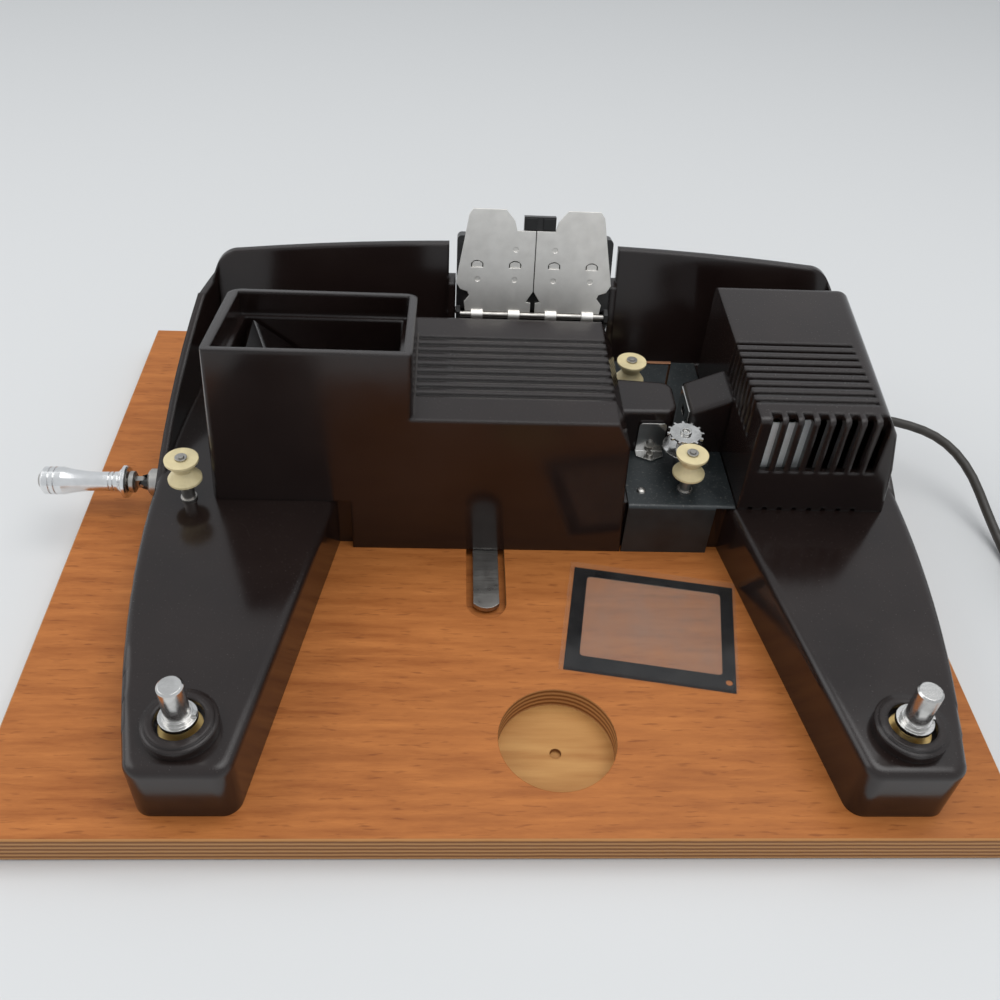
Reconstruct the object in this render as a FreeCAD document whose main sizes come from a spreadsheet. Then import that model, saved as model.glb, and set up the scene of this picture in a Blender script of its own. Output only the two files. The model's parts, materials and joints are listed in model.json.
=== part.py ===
import FreeCAD, Part
import math
import os
from types import SimpleNamespace

import Sketcher
from FreeCAD import Rotation, Vector

# Editor and viewer for 8 mm film, standing on its board, in millimetres.
# The origin is the middle of the board's underside, +X runs to the right arm, +Y away from the two
# reel spindles and +Z up. Everything above the board is drawn from the viewer's own centre line,
# with heights counted from the top of the board.

doc = FreeCAD.newDocument("film_editor_viewer")
pieces = []

BOARD_SIZES = {
    "board_width": 330,
    "board_depth": 273,
    "board_thick": 12,
    "board_bevel": 0.6,
    "recess_x": 17.8,
    "recess_y": -100,
    "recess_radius": 20,
    "recess_deep": 9,
    "recess_hole_radius": 2,
    "slot_x": -4.9,
    "slot_width": 15,
    "slot_near_y": -48,
    "slot_far_y": 22,
    "slot_deep": 4,
}

BASE_SIZES = {
    "view_x": 13,
    "wall": 3,
    "arm_high": 24,
    "arm_end_y": -128.5,
    "arm_end_out": 126.5,
    "arm_end_in": 95.8,
    "arm_root_in": 75.2,
    "cross_y": -9.1,
    "side_bow": 472,
    "far_y": 101,
    "far_out": 134,
    "side_rise_y": 2,
    "side_top_y": 90,
    "side_top_high": 63,
    "panel_foot_y": 84,
    "panel_lean": 14.5,
    "panel_high": 74,
    "panel_drop": 6,
    "notch_x": 2.1,
    "notch_half": 36.3,
    "arm_corner": 6,
    "arm_round": 3,
    "panel_corner": 11,
    "cord_y": 57,
    "cord_high": 18,
    "gland_radius": 3,
}

HOUSE_SIZES = {
    "house_near_y": -12.4,
    "house_far_y": 56,
    "house_lean": 1.5,
    "house_high": 63,
    "house_right": 35.6,
    "house_right_top": 33,
    "house_top_right": 28,
    "house_shoulder": 53,
    "skirt_left": -69.8,
    "hood_left_low": -121.4,
    "hood_left_top": -116.9,
    "hood_right": -46,
    "hood_far_y": 48,
    "hood_high": 90.6,
    "hood_slope": 11.3,
    "hood_corner": 5,
    "house_wall": 3,
    "ledge_deep": 10,
    "ledge_width": 2.5,
    "rib_count": 9,
    "rib_first_y": 3.4,
    "rib_pitch": 4.6,
    "rib_gap": 2.2,
    "rib_deep": 1.3,
    "axis_y": 31,
    "axis_high": 38.3,
    "light_radius": 5,
    "house_round": 2,
    "mirror_foot_x": -58,
    "mirror_foot_high": 27,
    "mirror_foot_long": 14,
    "mirror_lean": 39.7,
    "mirror_long": 66,
    "mirror_wide": 44,
    "mirror_thick": 2,
    "mirror_y": 19,
    "barrel_radius": 4.95,
    "barrel_bore": 3.8,
    "barrel_long": 9,
    "lens_x": 33,
}

LAMP_SIZES = {
    "lamp_left": 78,
    "lamp_right_low": 136,
    "lamp_right_top": 125.5,
    "lamp_far_right": 134,
    "lamp_near_y": -12.4,
    "lamp_far_y": 77,
    "lamp_high": 68,
    "lamp_wall": 3,
    "groove_count": 9,
    "groove_first_y": -2.6,
    "groove_pitch": 4.45,
    "groove_gap": 2.1,
    "groove_deep": 1.2,
    "groove_right": 124,
    "groove_foot": 52,
    "louvre_count": 8,
    "louvre_first_x": 82.2,
    "louvre_pitch": 5.75,
    "louvre_gap": 3.7,
    "louvre_foot": 43.5,
    "snout_width": 20,
    "lens_tip_x": 57.2,
    "lens_high": 45,
    "lamp_tip_x": 62.4,
    "lamp_tip_high": 45,
    "lamp_root_high": 52,
    "lamp_far_round": 4,
    "lamp_shoulder_round": 5,
    "lamp_edge_round": 2,
    "lens_nose": 5,
    "lamp_x": 104,
    "bulb_radius": 9,
    "bulb_mid": 14.3,
    "cap_radius": 6,
    "shield_radius": 22.5,
    "shield_high": 30,
    "condenser_x": 71,
}

DECK_SIZES = {
    "sheet_thick": 0.8,
    "deck_left": 36.2,
    "deck_right": 77.7,
    "deck_far_y": 83.6,
    "flange_right": 70.2,
    "deck_bend": 1.6,
    "seat_gap": 0.3,
    "run_gap": 0.05,
    "far_roller_x": 43.5,
    "far_roller_y": 57.6,
    "near_roller_x": 59.2,
    "near_roller_y": -2.5,
    "left_roller_x": -129.8,
    "left_roller_y": -11.1,
    "roller_low": 33.4,
    "roller_high": 43.2,
    "roller_rim": 6.2,
    "roller_waist": 3.6,
    "roller_lip": 0.9,
    "pin_radius": 1.2,
    "pin_proud": 1.4,
    "pin_foot_radius": 3,
    "clip_radius": 2.2,
    "clip_thick": 0.5,
    "sprocket_x": 59.2,
    "sprocket_y": 11.8,
    "sprocket_high": 41,
    "sprocket_radius": 7.275,
    "sprocket_thick": 0.9,
    "tooth_count": 12,
    "sprocket_hub": 2.6,
    "sprocket_flange": 8,
    "flange_high": 34.4,
    "axle_radius": 1.5,
    "prism_x": 48,
    "prism_side": 7,
    "prism_high": 8,
    "prism_low": 34.3,
    "prism_room": 6.2,
    "gear_radius": 16.4,
    "pinion_radius": 5.5,
    "gear_low": 16,
    "gear_thick": 3,
    "gate_left": 42.5,
    "gate_right": 53.6,
    "gate_foot_y": 13.7,
    "gate_fold_y": 19.8,
    "gate_high": 39.7,
    "gate_screw_high": 29.5,
    "spring_left": 50.6,
    "spring_right": 61,
    "spring_y": 60.2,
    "spring_wide": 1.5,
    "spring_high": 40,
    "rivet_x": 42,
    "rivet_y": -3.6,
}

SPINDLE_SIZES = {
    "spindle_x": 112.2,
    "spindle_y": -113,
    "spindle_radius": 3.97,
    "spindle_top": 45.3,
    "disc_radius": 5.85,
    "disc_low": 29.2,
    "disc_thick": 1.6,
    "shoulder_radius": 4.6,
    "shoulder_high": 1.6,
    "shaft_radius": 3,
    "spindle_foot": 1.5,
    "collar_foot_radius": 11.65,
    "collar_top_radius": 10.3,
    "collar_high": 4.8,
    "well_radius": 7.6,
    "bush_radius": 5,
    "pulley_radius": 5.4,
    "pulley_thick": 4,
    "belt_high": 4.2,
    "belt_thick": 1.2,
    "belt_sunk": 0.65,
}

CRANK_SIZES = {
    "crank_y": 8,
    "crank_high": 14.2,
    "sleeve_out": -150.2,
    "sleeve_radius": 5.4,
    "crank_shaft_radius": 2.5,
    "knuckle_x": -153,
    "knuckle_radius": 3.4,
    "waist_radius": 2.6,
    "fork_gap": 1.6,
    "ring_radius": 4.25,
    "ring_long": 2.6,
    "flange_radius": 6.45,
    "grip_root_x": -160.6,
    "grip_tip_x": -191.3,
    "grip_waist_radius": 3.95,
    "grip_end_radius": 5.5,
    "lay_y": 8,
    "lay_x": -113,
    "sleeve_long": 5.5,
    "crank_bush_radius": 4,
    "fold_pin_radius": 0.8,
    "grip_axle_radius": 2.2,
    "bevel_near": 3.6,
    "bevel_far": 6.6,
    "lay_radius": 2,
    "lay_boss_radius": 4.5,
    "lay_pulley_radius": 13.5,
}

SPLICER_SIZES = {
    "pivot_y": 88.4,
    "pivot_high": 46.6,
    "ear_thick": 3,
    "ear_high": 60,
    "ear_deep": 8.6,
    "splicer_half": 33,
    "splicer_thick": 7,
    "splicer_low": -6.5,
    "splicer_top": 33.5,
    "rod_off": 5.6,
    "rod_radius": 1.3,
    "plate_thick": 0.9,
    "plate_top": 45,
    "plate_gap": 0.35,
    "pivot_radius": 1.5,
    "splicer_face": 4.5,
    "seam_gap": 0.2,
    "knuckle_room": 2.6,
    "knuckle_first": 8,
    "knuckle_last": 24,
    "knuckle_long": 5,
    "tongue_left": -5.2,
    "tongue_right": 8.1,
    "tongue_top": 42,
    "tongue_thick": 3,
    "pad_wide": 4.8,
    "pad_low": 36.9,
    "pad_long": 4.7,
    "pad_first_x": -2.3,
    "pad_last_x": 5.2,
}

SCREEN_SIZES = {
    "screen_x": 55.5,
    "screen_y": -51.35,
    "screen_wide": 63.6,
    "screen_deep": 51.5,
    "screen_thick": 2.6,
    "screen_turn": -9.5,
    "mask_thick": 0.3,
    "mask_margin": 1.8,
    "window_mid_x": 0.85,
    "window_mid_y": 1.55,
    "window_wide": 51.3,
    "window_deep": 39.2,
    "window_round": 1.5,
    "eyelet_x": 28.8,
    "eyelet_y": -20.95,
    "eyelet_radius": 1.25,
    "blade_wide": 9.8,
    "blade_thick": 2,
    "blade_low": 2.4,
    "blade_near_y": -45,
    "blade_far_y": 15,
    "blade_round": 6,
    "latch_screw_y": 10,
}

# The cord, in the whole object's frame: its corners, from inside the moulding to the floor.
CORD_SIZES = {
    "cord_radius": 2,
    "plug_long": 28,
    "plug_wide": 20,
    "plug_thick": 15,
}
CORD_START = [
    (144, 57, 30),
    (174, 57, 30),
    (206, 44, 24),
    (216, 6, 2.2),
    (216, -20, 2.2),
]
CORD_TAIL = [
    (273.4, 6, 16),
    (276, 34, 9.5),
    (284, 52, 9.5),
]
COIL_MIDDLE = (244, -20)
COIL_RADIUS = 28
COIL_STEP = 2.35
COIL_LAYER_STEPS = 5
COIL_LAYERS = 4
COIL_RISE = 4.6
COIL_SIDESTEP = 1.4

doc_sizes = [
    BOARD_SIZES,
    BASE_SIZES,
    HOUSE_SIZES,
    LAMP_SIZES,
    DECK_SIZES,
    SPINDLE_SIZES,
    CRANK_SIZES,
    SPLICER_SIZES,
    SCREEN_SIZES,
    CORD_SIZES,
]


class Size:
    """A number of the sheet, or a sum of such numbers, together with its formula."""

    def __init__(self, value, text):
        self.value = float(value)
        self.text = text

    def __add__(self, other):
        other = as_size(other)
        return Size(self.value + other.value, f"({self.text} + {other.text})")

    def __sub__(self, other):
        other = as_size(other)
        return Size(self.value - other.value, f"({self.text} - {other.text})")

    def __mul__(self, other):
        other = as_size(other)
        return Size(self.value * other.value, f"({self.text} * {other.text})")

    def __truediv__(self, other):
        other = as_size(other)
        return Size(self.value / other.value, f"({self.text} / {other.text})")

    def __radd__(self, other):
        return as_size(other) + self

    def __rsub__(self, other):
        return as_size(other) - self

    def __rmul__(self, other):
        return as_size(other) * self

    def __neg__(self):
        return Size(-self.value, f"(0 - {self.text})")


def as_size(number):
    if isinstance(number, Size):
        return number
    return Size(number, repr(float(number)))


def tan_of(degrees):
    degrees = as_size(degrees)
    return Size(math.tan(math.radians(degrees.value)), f"tan({degrees.text})")


def cos_of(degrees):
    degrees = as_size(degrees)
    return Size(math.cos(math.radians(degrees.value)), f"cos({degrees.text})")


def fill_sheet():
    """Write every driving size into the sheet, and give each back with its formula."""
    sheet = doc.addObject("Spreadsheet::Sheet", "Dims")
    sizes = {}
    row = 1
    for group in doc_sizes:
        for alias, number in group.items():
            sheet.set(f"A{row}", alias)
            sheet.set(f"B{row}", str(number))
            sheet.setAlias(f"B{row}", alias)
            sizes[alias] = Size(number, f"Dims.{alias}")
            row += 1
    doc.recompute()
    return SimpleNamespace(**sizes)


d = fill_sheet()
d.deck_top = d.arm_high + d.sheet_thick
d.axle_hole = d.axle_radius + d.run_gap


def bind(thing, prop, size):
    """Set one property from a size, so that it follows the sheet."""
    thing.setExpression(prop, as_size(size).text)


def place(thing, x, y, z):
    for axis, size in zip("xyz", (x, y, z)):
        bind(thing, f"Placement.Base.{axis}", size)


def new_body(label, x=None, y=0, z=None, turn=None):
    """A body for one sub-part. Left out, its place is the viewer's centre line on the board."""
    body = doc.addObject("PartDesign::Body", label)
    body.Label = label
    body.AllowCompound = True
    pieces.append(body)
    if turn is not None:
        body.Placement.Rotation = turn
    place(body, d.view_x if x is None else x, y, d.board_thick if z is None else z)
    return body


def sketch(body, plane, lift=0):
    """A sketch on an origin plane of the body, lifted along +Z, +Y or +X."""
    support = next(f for f in body.Origin.OriginFeatures if f.Role == plane + "_Plane")
    drawing = body.newObject("Sketcher::SketchObject", body.Label + "_sketch")
    drawing.AttachmentSupport = [(support, "")]
    drawing.MapMode = "FlatFace"
    if plane == "XZ":
        lift = -as_size(lift)
    bind(drawing, "AttachmentOffset.Base.z", lift)
    return drawing


def pin(drawing, curve, end, x, y):
    """Hold one end of a curve at a place counted from the sketch's origin."""
    for kind, size in (("DistanceX", as_size(x)), ("DistanceY", as_size(y))):
        index = drawing.addConstraint(Sketcher.Constraint(kind, -1, 1, curve, end, size.value))
        drawing.setExpression(f"Constraints[{index}]", size.text)


def arc_between(start, end, radius):
    """The short arc from start to end, turning left round its middle."""
    chord = end - start
    across = Vector(-chord.y, chord.x, 0).normalize()
    middle = (start + end) * 0.5 + across * math.sqrt(radius**2 - (chord.Length / 2) ** 2)
    first = math.atan2(start.y - middle.y, start.x - middle.x)
    last = math.atan2(end.y - middle.y, end.x - middle.x)
    return Part.ArcOfCircle(Part.Circle(middle, Vector(0, 0, 1), radius), first, last)


def outline(drawing, corners, bows=None):
    """A closed outline. A side named in bows is an arc that bulges outward, or inward where the
    radius is less than nothing, and the others are straight."""
    bows = bows or {}
    base = drawing.GeometryCount
    points = [Vector(as_size(x).value, as_size(y).value, 0) for x, y in corners]
    heads = []
    for side, start in enumerate(points):
        end = points[(side + 1) % len(points)]
        bow = as_size(bows.get(side, 0))
        if bow.value > 0:
            drawing.addGeometry(arc_between(start, end, bow.value))
            heads.append((1, 2))
        elif bow.value < 0:
            drawing.addGeometry(arc_between(end, start, -bow.value))
            heads.append((2, 1))
        else:
            drawing.addGeometry(Part.LineSegment(start, end))
            heads.append((1, 2))
    for side, (first, last) in enumerate(heads):
        following = (side + 1) % len(points)
        joint = Sketcher.Constraint(
            "Coincident", base + side, last, base + following, heads[following][0]
        )
        drawing.addConstraint(joint)
    for side, (x, y) in enumerate(corners):
        pin(drawing, base + side, heads[side][0], x, y)
    for side, bow in bows.items():
        size = as_size(bow)
        if size.value < 0:
            size = -size
        index = drawing.addConstraint(Sketcher.Constraint("Radius", base + side, size.value))
        drawing.setExpression(f"Constraints[{index}]", size.text)


def block(drawing, left, right, low, high):
    outline(drawing, [(left, low), (right, low), (right, high), (left, high)])


def ring(drawing, x, y, radius):
    size = as_size(radius)
    middle = Vector(as_size(x).value, as_size(y).value, 0)
    curve = drawing.addGeometry(Part.Circle(middle, Vector(0, 0, 1), size.value))
    pin(drawing, curve, 3, x, y)
    index = drawing.addConstraint(Sketcher.Constraint("Radius", curve, size.value))
    drawing.setExpression(f"Constraints[{index}]", size.text)


def pad(drawing, length, towards=1, both=False):
    """Add the sketch's area over a length, along +Z, +Y or +X, or the other way."""
    feature = body_of(drawing).newObject("PartDesign::Pad", drawing.Name + "_pad")
    feature.Profile = drawing
    bind(feature, "Length", length)
    feature.Midplane = both
    feature.Reversed = (towards < 0) != faces_back(drawing)
    drawing.Visibility = False
    return feature


def pocket(drawing, length=None, towards=1, both=False):
    """Cut the sketch's area away over a length, or all the way."""
    feature = body_of(drawing).newObject("PartDesign::Pocket", drawing.Name + "_cut")
    feature.Profile = drawing
    if length is None:
        feature.Type = "ThroughAll"
    else:
        bind(feature, "Length", length)
    feature.Midplane = both
    feature.Reversed = (towards > 0) != faces_back(drawing)
    return feature


def body_of(drawing):
    return drawing.getParentGeoFeatureGroup()


def faces_back(drawing):
    """Whether the sketch's own normal points along -Y."""
    return drawing.AttachmentSupport[0][0].Role == "XZ_Plane"


def pick(feature, test):
    """The names of the edges of a feature that pass a test."""
    doc.recompute()
    return [f"Edge{n}" for n, edge in enumerate(feature.Shape.Edges, 1) if test(edge)]


def is_straight(edge, way):
    if not isinstance(edge.Curve, Part.Line):
        return False
    return abs(abs(edge.tangentAt(edge.FirstParameter).dot(way)) - 1) < 1e-6


def soften(kind, feature, test, size):
    """Round or bevel the edges of a feature that pass a test."""
    names = pick(feature, test)
    softened = body_of_feature(feature).newObject("PartDesign::" + kind, feature.Name + "_" + kind)
    softened.Base = (feature, names)
    bind(softened, "Radius" if kind == "Fillet" else "Size", size)
    return softened


def body_of_feature(feature):
    return feature.getParentGeoFeatureGroup()


UP = Vector(0, 0, 1)
AWAY = Vector(0, 1, 0)
BEYOND = 400


def upright(edge):
    return is_straight(edge, UP)


def near(value, size, slack=0.05):
    return abs(value - as_size(size).value) < slack


def base_board():
    body = new_body("base_board", 0, 0, 0)
    drawing = sketch(body, "XY")
    block(drawing, -d.board_width / 2, d.board_width / 2, -d.board_depth / 2, d.board_depth / 2)
    slab = pad(drawing, d.board_thick)
    soften("Chamfer", slab, lambda edge: edge.Length > 100, d.board_bevel)
    drawing = sketch(body, "XY", d.board_thick)
    ring(drawing, d.recess_x, d.recess_y, d.recess_radius)
    pocket(drawing, d.recess_deep, -1)
    drawing = sketch(body, "XY", d.board_thick)
    ring(drawing, d.recess_x, d.recess_y, d.recess_hole_radius)
    pocket(drawing, d.board_thick, -1)
    drawing = sketch(body, "XY", d.board_thick)
    half = d.slot_width / 2
    block(drawing, d.slot_x - half, d.slot_x + half, d.slot_near_y + half, d.slot_far_y)
    pocket(drawing, d.slot_deep, -1)
    drawing = sketch(body, "XY", d.board_thick)
    ring(drawing, d.slot_x, d.slot_near_y + half, half)
    pocket(drawing, d.slot_deep, -1)
    return body


def panel_in(high):
    """How far out the standing panels' inner face is at a height."""
    return d.panel_foot_y + (high - d.arm_high) * tan_of(d.panel_lean)


def panel_out(high):
    return panel_in(high) + d.wall / cos_of(d.panel_lean)


def plan_outline(drawing, inset, cross_y, far_y):
    """The plan of the moulding, or the same drawn inward by a wall."""
    near_y = d.arm_end_y + inset
    outer = d.arm_end_out - inset
    inner = d.arm_end_in + inset
    root = d.arm_root_in + inset
    far = d.far_out - inset
    bow = d.side_bow - inset
    corners = [
        (-outer, near_y),
        (-inner, near_y),
        (-root, cross_y),
        (root, cross_y),
        (inner, near_y),
        (outer, near_y),
        (far, far_y),
        (-far, far_y),
    ]
    outline(drawing, corners, {5: bow, 7: bow})


def base_moulding():
    """The black moulding: two arms, the tray between them and the standing panels behind it."""
    body = new_body("base_moulding")
    drawing = sketch(body, "XY")
    plan_outline(drawing, as_size(0), d.cross_y, d.far_y)
    pad(drawing, d.panel_high)
    clear = d.panel_high + 20

    drawing = sketch(body, "YZ")
    profile = [
        (-BEYOND, d.arm_high),
        (d.side_rise_y, d.arm_high),
        (d.side_top_y, d.side_top_high),
        (panel_out(clear), d.side_top_high + 16),
        (panel_out(clear), clear),
        (-BEYOND, clear),
    ]
    outline(drawing, profile)
    low = pocket(drawing, BEYOND * 2, both=True)

    corners = soften("Fillet", low, arm_end_corner, d.arm_corner)
    soften("Fillet", corners, arm_top_edge, d.arm_round)

    drawing = sketch(body, "XY", d.arm_high)
    tray_wall(drawing)
    pocket(drawing, clear, 1)

    drawing = sketch(body, "YZ")
    outer = [
        (panel_out(-1), -1),
        (BEYOND, -1),
        (BEYOND, clear),
        (panel_out(clear), clear),
    ]
    outline(drawing, outer)
    pocket(drawing, BEYOND * 2, both=True)

    drawing = sketch(body, "YZ")
    low = d.arm_high - 1
    panel = [
        (panel_in(low), low),
        (panel_out(low), low),
        (panel_out(d.panel_high), d.panel_high),
        (panel_in(d.panel_high), d.panel_high),
    ]
    outline(drawing, panel)
    pad(drawing, d.far_out * 2 - d.wall, both=True)
    notch_and_ears(body)
    panel_arch(body)
    base_holes(body)
    return body


def arm_end_corner(edge):
    return upright(edge) and edge.CenterOfMass.y < d.arm_end_y.value + 1


def arm_top_edge(edge):
    middle = edge.CenterOfMass
    return near(middle.z, d.arm_high) and middle.y < d.house_near_y.value


def tray_wall(drawing):
    """The tray's inside, bounded left and right by the side walls."""
    inset = d.wall
    outer = d.arm_end_out - inset
    far = d.far_out - inset
    bow = d.side_bow - inset
    corners = [
        (-outer, d.arm_end_y),
        (outer, d.arm_end_y),
        (far, d.far_y),
        (-far, d.far_y),
    ]
    outline(drawing, corners, {1: bow, 3: bow})


def notch_and_ears(body):
    """Open the middle of the panels for the splicer, and stand its two hinge ears in the gap."""
    clear = d.panel_high + 20
    left = d.notch_x - d.notch_half
    right = d.notch_x + d.notch_half
    drawing = sketch(body, "XZ", d.panel_foot_y - 10)
    block(drawing, left, right, d.arm_high, clear)
    pocket(drawing, 60)

    low = d.arm_high - 1
    ear = [
        (panel_out(low) - d.ear_deep, low),
        (panel_out(low), low),
        (panel_out(d.ear_high), d.ear_high),
        (panel_out(d.ear_high) - d.ear_deep, d.ear_high),
    ]
    for start, way in ((left, 1), (right, -1)):
        drawing = sketch(body, "YZ", start)
        outline(drawing, ear)
        pad(drawing, d.ear_thick, way)
    drawing = sketch(body, "YZ", left)
    ring(drawing, d.pivot_y, d.pivot_high, d.pivot_radius + d.run_gap)
    pocket(drawing, d.notch_half * 2)


def panel_arch(body):
    """Shape the top of the panels: a low arch that ends in a round corner each side."""
    clear = d.panel_high + 20
    shoulder = d.panel_high - d.panel_drop
    low = shoulder - d.panel_corner
    half = d.far_out
    inner = half - d.panel_corner
    arch = (inner * inner + d.panel_drop * d.panel_drop) / (d.panel_drop * 2)
    corners = [
        (-half - 40, low),
        (-half, low),
        (-inner, shoulder),
        (inner, shoulder),
        (half, low),
        (half + 40, low),
        (half + 40, clear),
        (-half - 40, clear),
    ]
    drawing = sketch(body, "XZ", d.side_top_y - 12)
    outline(drawing, corners, {1: -d.panel_corner, 2: -arch, 3: -d.panel_corner})
    pocket(drawing, 60)


def drill(body, plane, lift, x, y, radius, deep, way=-1):
    drawing = sketch(body, plane, lift)
    ring(drawing, x, y, radius)
    return pocket(drawing, deep, way)


def base_holes(body):
    """The hollow under the arms and tray, and every hole that a shaft or pin passes."""
    drawing = sketch(body, "XY")
    plan_outline(drawing, d.wall, d.cross_y + d.wall, panel_in(0))
    pocket(drawing, d.arm_high - d.wall)
    through = d.wall + 2
    above = d.arm_high + 1
    for side in (-1, 1):
        drill(body, "XY", above, side * d.spindle_x, d.spindle_y, d.bush_radius, through)
    for x, y in roller_places():
        drill(body, "XY", above, x, y, d.pin_radius + 0.02, through)
    drill(body, "XY", above, d.sprocket_x, d.sprocket_y, d.axle_hole, through)
    drill(body, "XY", above, d.prism_x, d.axis_y, d.axle_hole, through)
    drill(body, "YZ", d.sleeve_out, d.crank_y, d.crank_high, d.crank_bush_radius + 0.02, 14, 1)
    drill(body, "YZ", d.far_out + 25, d.cord_y, d.cord_high, d.gland_radius, 34)
    drawing = sketch(body, "XY", d.arm_high - d.wall + 0.5)
    ring(drawing, d.lay_x, d.lay_y, d.lay_boss_radius)
    pad(drawing, 2, -1)
    drill(body, "XY", 16, d.lay_x, d.lay_y, d.lay_radius + d.run_gap, 6.2, 1)


def roller_places():
    return (
        (d.left_roller_x, d.left_roller_y),
        (d.near_roller_x, d.near_roller_y),
        (d.far_roller_x, d.far_roller_y),
    )


def viewer_housing():
    """The hood that holds the screen, and the lower house beside it, moulded in one shell."""
    body = new_body("viewer_housing")
    low = d.arm_high
    drawing = sketch(body, "XZ", d.house_near_y)
    hood = [
        (d.hood_left_low, low),
        (d.hood_right, low),
        (d.hood_right, d.hood_high),
        (d.hood_left_top, d.hood_high),
    ]
    outline(drawing, hood)
    solid = pad(drawing, d.hood_far_y - d.house_near_y)
    soften("Fillet", solid, tall_edge, d.hood_corner)

    drawing = sketch(body, "XZ", d.house_near_y)
    inside = d.hood_right - d.hood_corner - 2
    house = [
        (inside, low),
        (house_side(low), low),
        (house_side(d.house_shoulder), d.house_shoulder),
        (d.house_top_right, d.house_high),
        (inside, d.house_high),
    ]
    outline(drawing, house)
    solid = pad(drawing, d.house_far_y - d.house_near_y)
    soften("Fillet", solid, house_side_edge, d.house_round)

    drawing = sketch(body, "XZ", d.house_near_y)
    skirt = [
        (d.skirt_left, 0),
        (house_side(0), 0),
        (house_side(low), low),
        (house_side(low), low + 2),
        (d.skirt_left, low + 2),
    ]
    outline(drawing, skirt)
    pad(drawing, d.house_wall)
    lean_and_slope(body)
    hollow_housing(body)
    house_ribs(body)
    return body


def house_side(high):
    """How far right the house's side wall stands at a height."""
    lean = (d.house_right - d.house_right_top) / d.house_shoulder
    return d.house_right - high * lean


def tall_edge(edge):
    return edge.Length > 20 and abs(edge.tangentAt(edge.FirstParameter).z) > 0.9


def house_side_edge(edge):
    return tall_edge(edge) and edge.CenterOfMass.x > d.house_top_right.value


def rim_high(y):
    """Height of the hood's sloping rim."""
    return d.hood_high - (y - d.house_near_y) * tan_of(d.hood_slope)


def lean_and_slope(body):
    clear = d.hood_high + 20
    start = d.house_near_y - 5
    drawing = sketch(body, "YZ")
    lean = [
        (start, 0),
        (d.house_near_y, 0),
        (d.house_near_y + clear * tan_of(d.house_lean), clear),
        (start, clear),
    ]
    outline(drawing, lean)
    pocket(drawing, BEYOND, both=True)
    drawing = sketch(body, "YZ")
    end = d.hood_far_y + 5
    slope = [(start, rim_high(start)), (end, rim_high(end)), (end, clear), (start, clear)]
    outline(drawing, slope)
    pocket(drawing, BEYOND, both=True)


def hollow_housing(body):
    """Hollow the hood for the light and the house for the lens, and leave a ledge for the screen."""
    clear = d.hood_high + 20
    near_y = d.house_near_y + d.house_wall + d.hood_high * tan_of(d.house_lean)
    left = d.hood_left_low + d.house_wall
    right = d.hood_right - d.house_wall
    far_y = d.hood_far_y - d.house_wall
    ledge = d.ledge_width
    drawing = sketch(body, "XZ", near_y + ledge)
    lean = (d.hood_left_top - d.hood_left_low) / (d.hood_high - d.arm_high)
    top_left = left + (clear - d.arm_high) * lean
    well = [
        (left + ledge, 0),
        (right - ledge, 0),
        (right - ledge, clear),
        (top_left + ledge, clear),
    ]
    outline(drawing, well)
    pocket(drawing, far_y - near_y - ledge * 2)

    drawing = sketch(body, "YZ", d.hood_left_top + d.house_wall)
    seat = [
        (near_y, rim_high(near_y) - d.ledge_deep),
        (far_y, rim_high(far_y) - d.ledge_deep),
        (far_y, clear),
        (near_y, clear),
    ]
    outline(drawing, seat)
    pocket(drawing, right - d.hood_left_top - d.house_wall)

    drawing = sketch(body, "XZ", near_y)
    wall = d.house_wall
    tunnel = [
        (right - ledge - 1, d.arm_high - 1),
        (house_side(d.arm_high) - wall, d.arm_high - 1),
        (house_side(d.house_shoulder) - wall, d.house_shoulder - 1),
        (d.house_top_right - 1, d.house_high - wall),
        (right - ledge - 1, d.house_high - wall),
    ]
    outline(drawing, tunnel)
    pocket(drawing, d.house_far_y - wall - near_y)
    drill(body, "YZ", d.house_right + 1, d.axis_y, d.axis_high, d.light_radius, 12)


def house_ribs(body):
    """Grooves across the house's top and down its bevelled side."""
    clear = d.house_high + 5
    deep = d.rib_deep
    drawing = sketch(body, "XZ", d.rib_first_y)
    side = house_side(d.house_shoulder)
    groove = [
        (d.hood_right + 0.6, d.house_high - deep),
        (d.house_top_right - deep / 2, d.house_high - deep),
        (side - deep, d.house_shoulder - deep),
        (side + 5, d.house_shoulder - deep),
        (side + 5, clear),
        (d.hood_right + 0.6, clear),
    ]
    outline(drawing, groove)
    first = pocket(drawing, d.rib_gap)
    repeat_along(body, first, "Y_Axis", d.rib_pitch, d.rib_count)


def repeat_along(body, feature, role, pitch, count):
    """Repeat a feature in a row along an axis of the body."""
    pattern = body.newObject("PartDesign::LinearPattern", feature.Name + "_row")
    pattern.Originals = [feature]
    axis = next(f for f in body.Origin.OriginFeatures if f.Role == role)
    pattern.Direction = (axis, [""])
    bind(pattern, "Length", pitch * (count - 1))
    bind(pattern, "Occurrences", count)
    body.Tip = pattern
    return pattern


def lamp_section(body, y, inset, right_top, high):
    """One upright section of the lamp house; inset draws the inside of its wall."""
    low = d.arm_high
    lean = d.lamp_right_low - right_top
    corners = [
        (d.lamp_left + inset, low),
        (d.lamp_right_low - inset, low),
        (d.lamp_right_low - lean * 0.25 - inset, high * 0.66),
        (right_top + lean * 0.4 - inset, high * 0.9 - inset * 0.6),
        (right_top - inset, high - inset),
        (d.lamp_left + inset, high - inset),
    ]
    drawing = sketch(body, "XZ", y)
    outline(drawing, corners)
    return drawing


def loft(body, kind, start, end):
    feature = body.newObject("PartDesign::" + kind, start.Name + "_loft")
    feature.Profile = start
    feature.Sections = [end]
    feature.Ruled = True
    return feature


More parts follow.
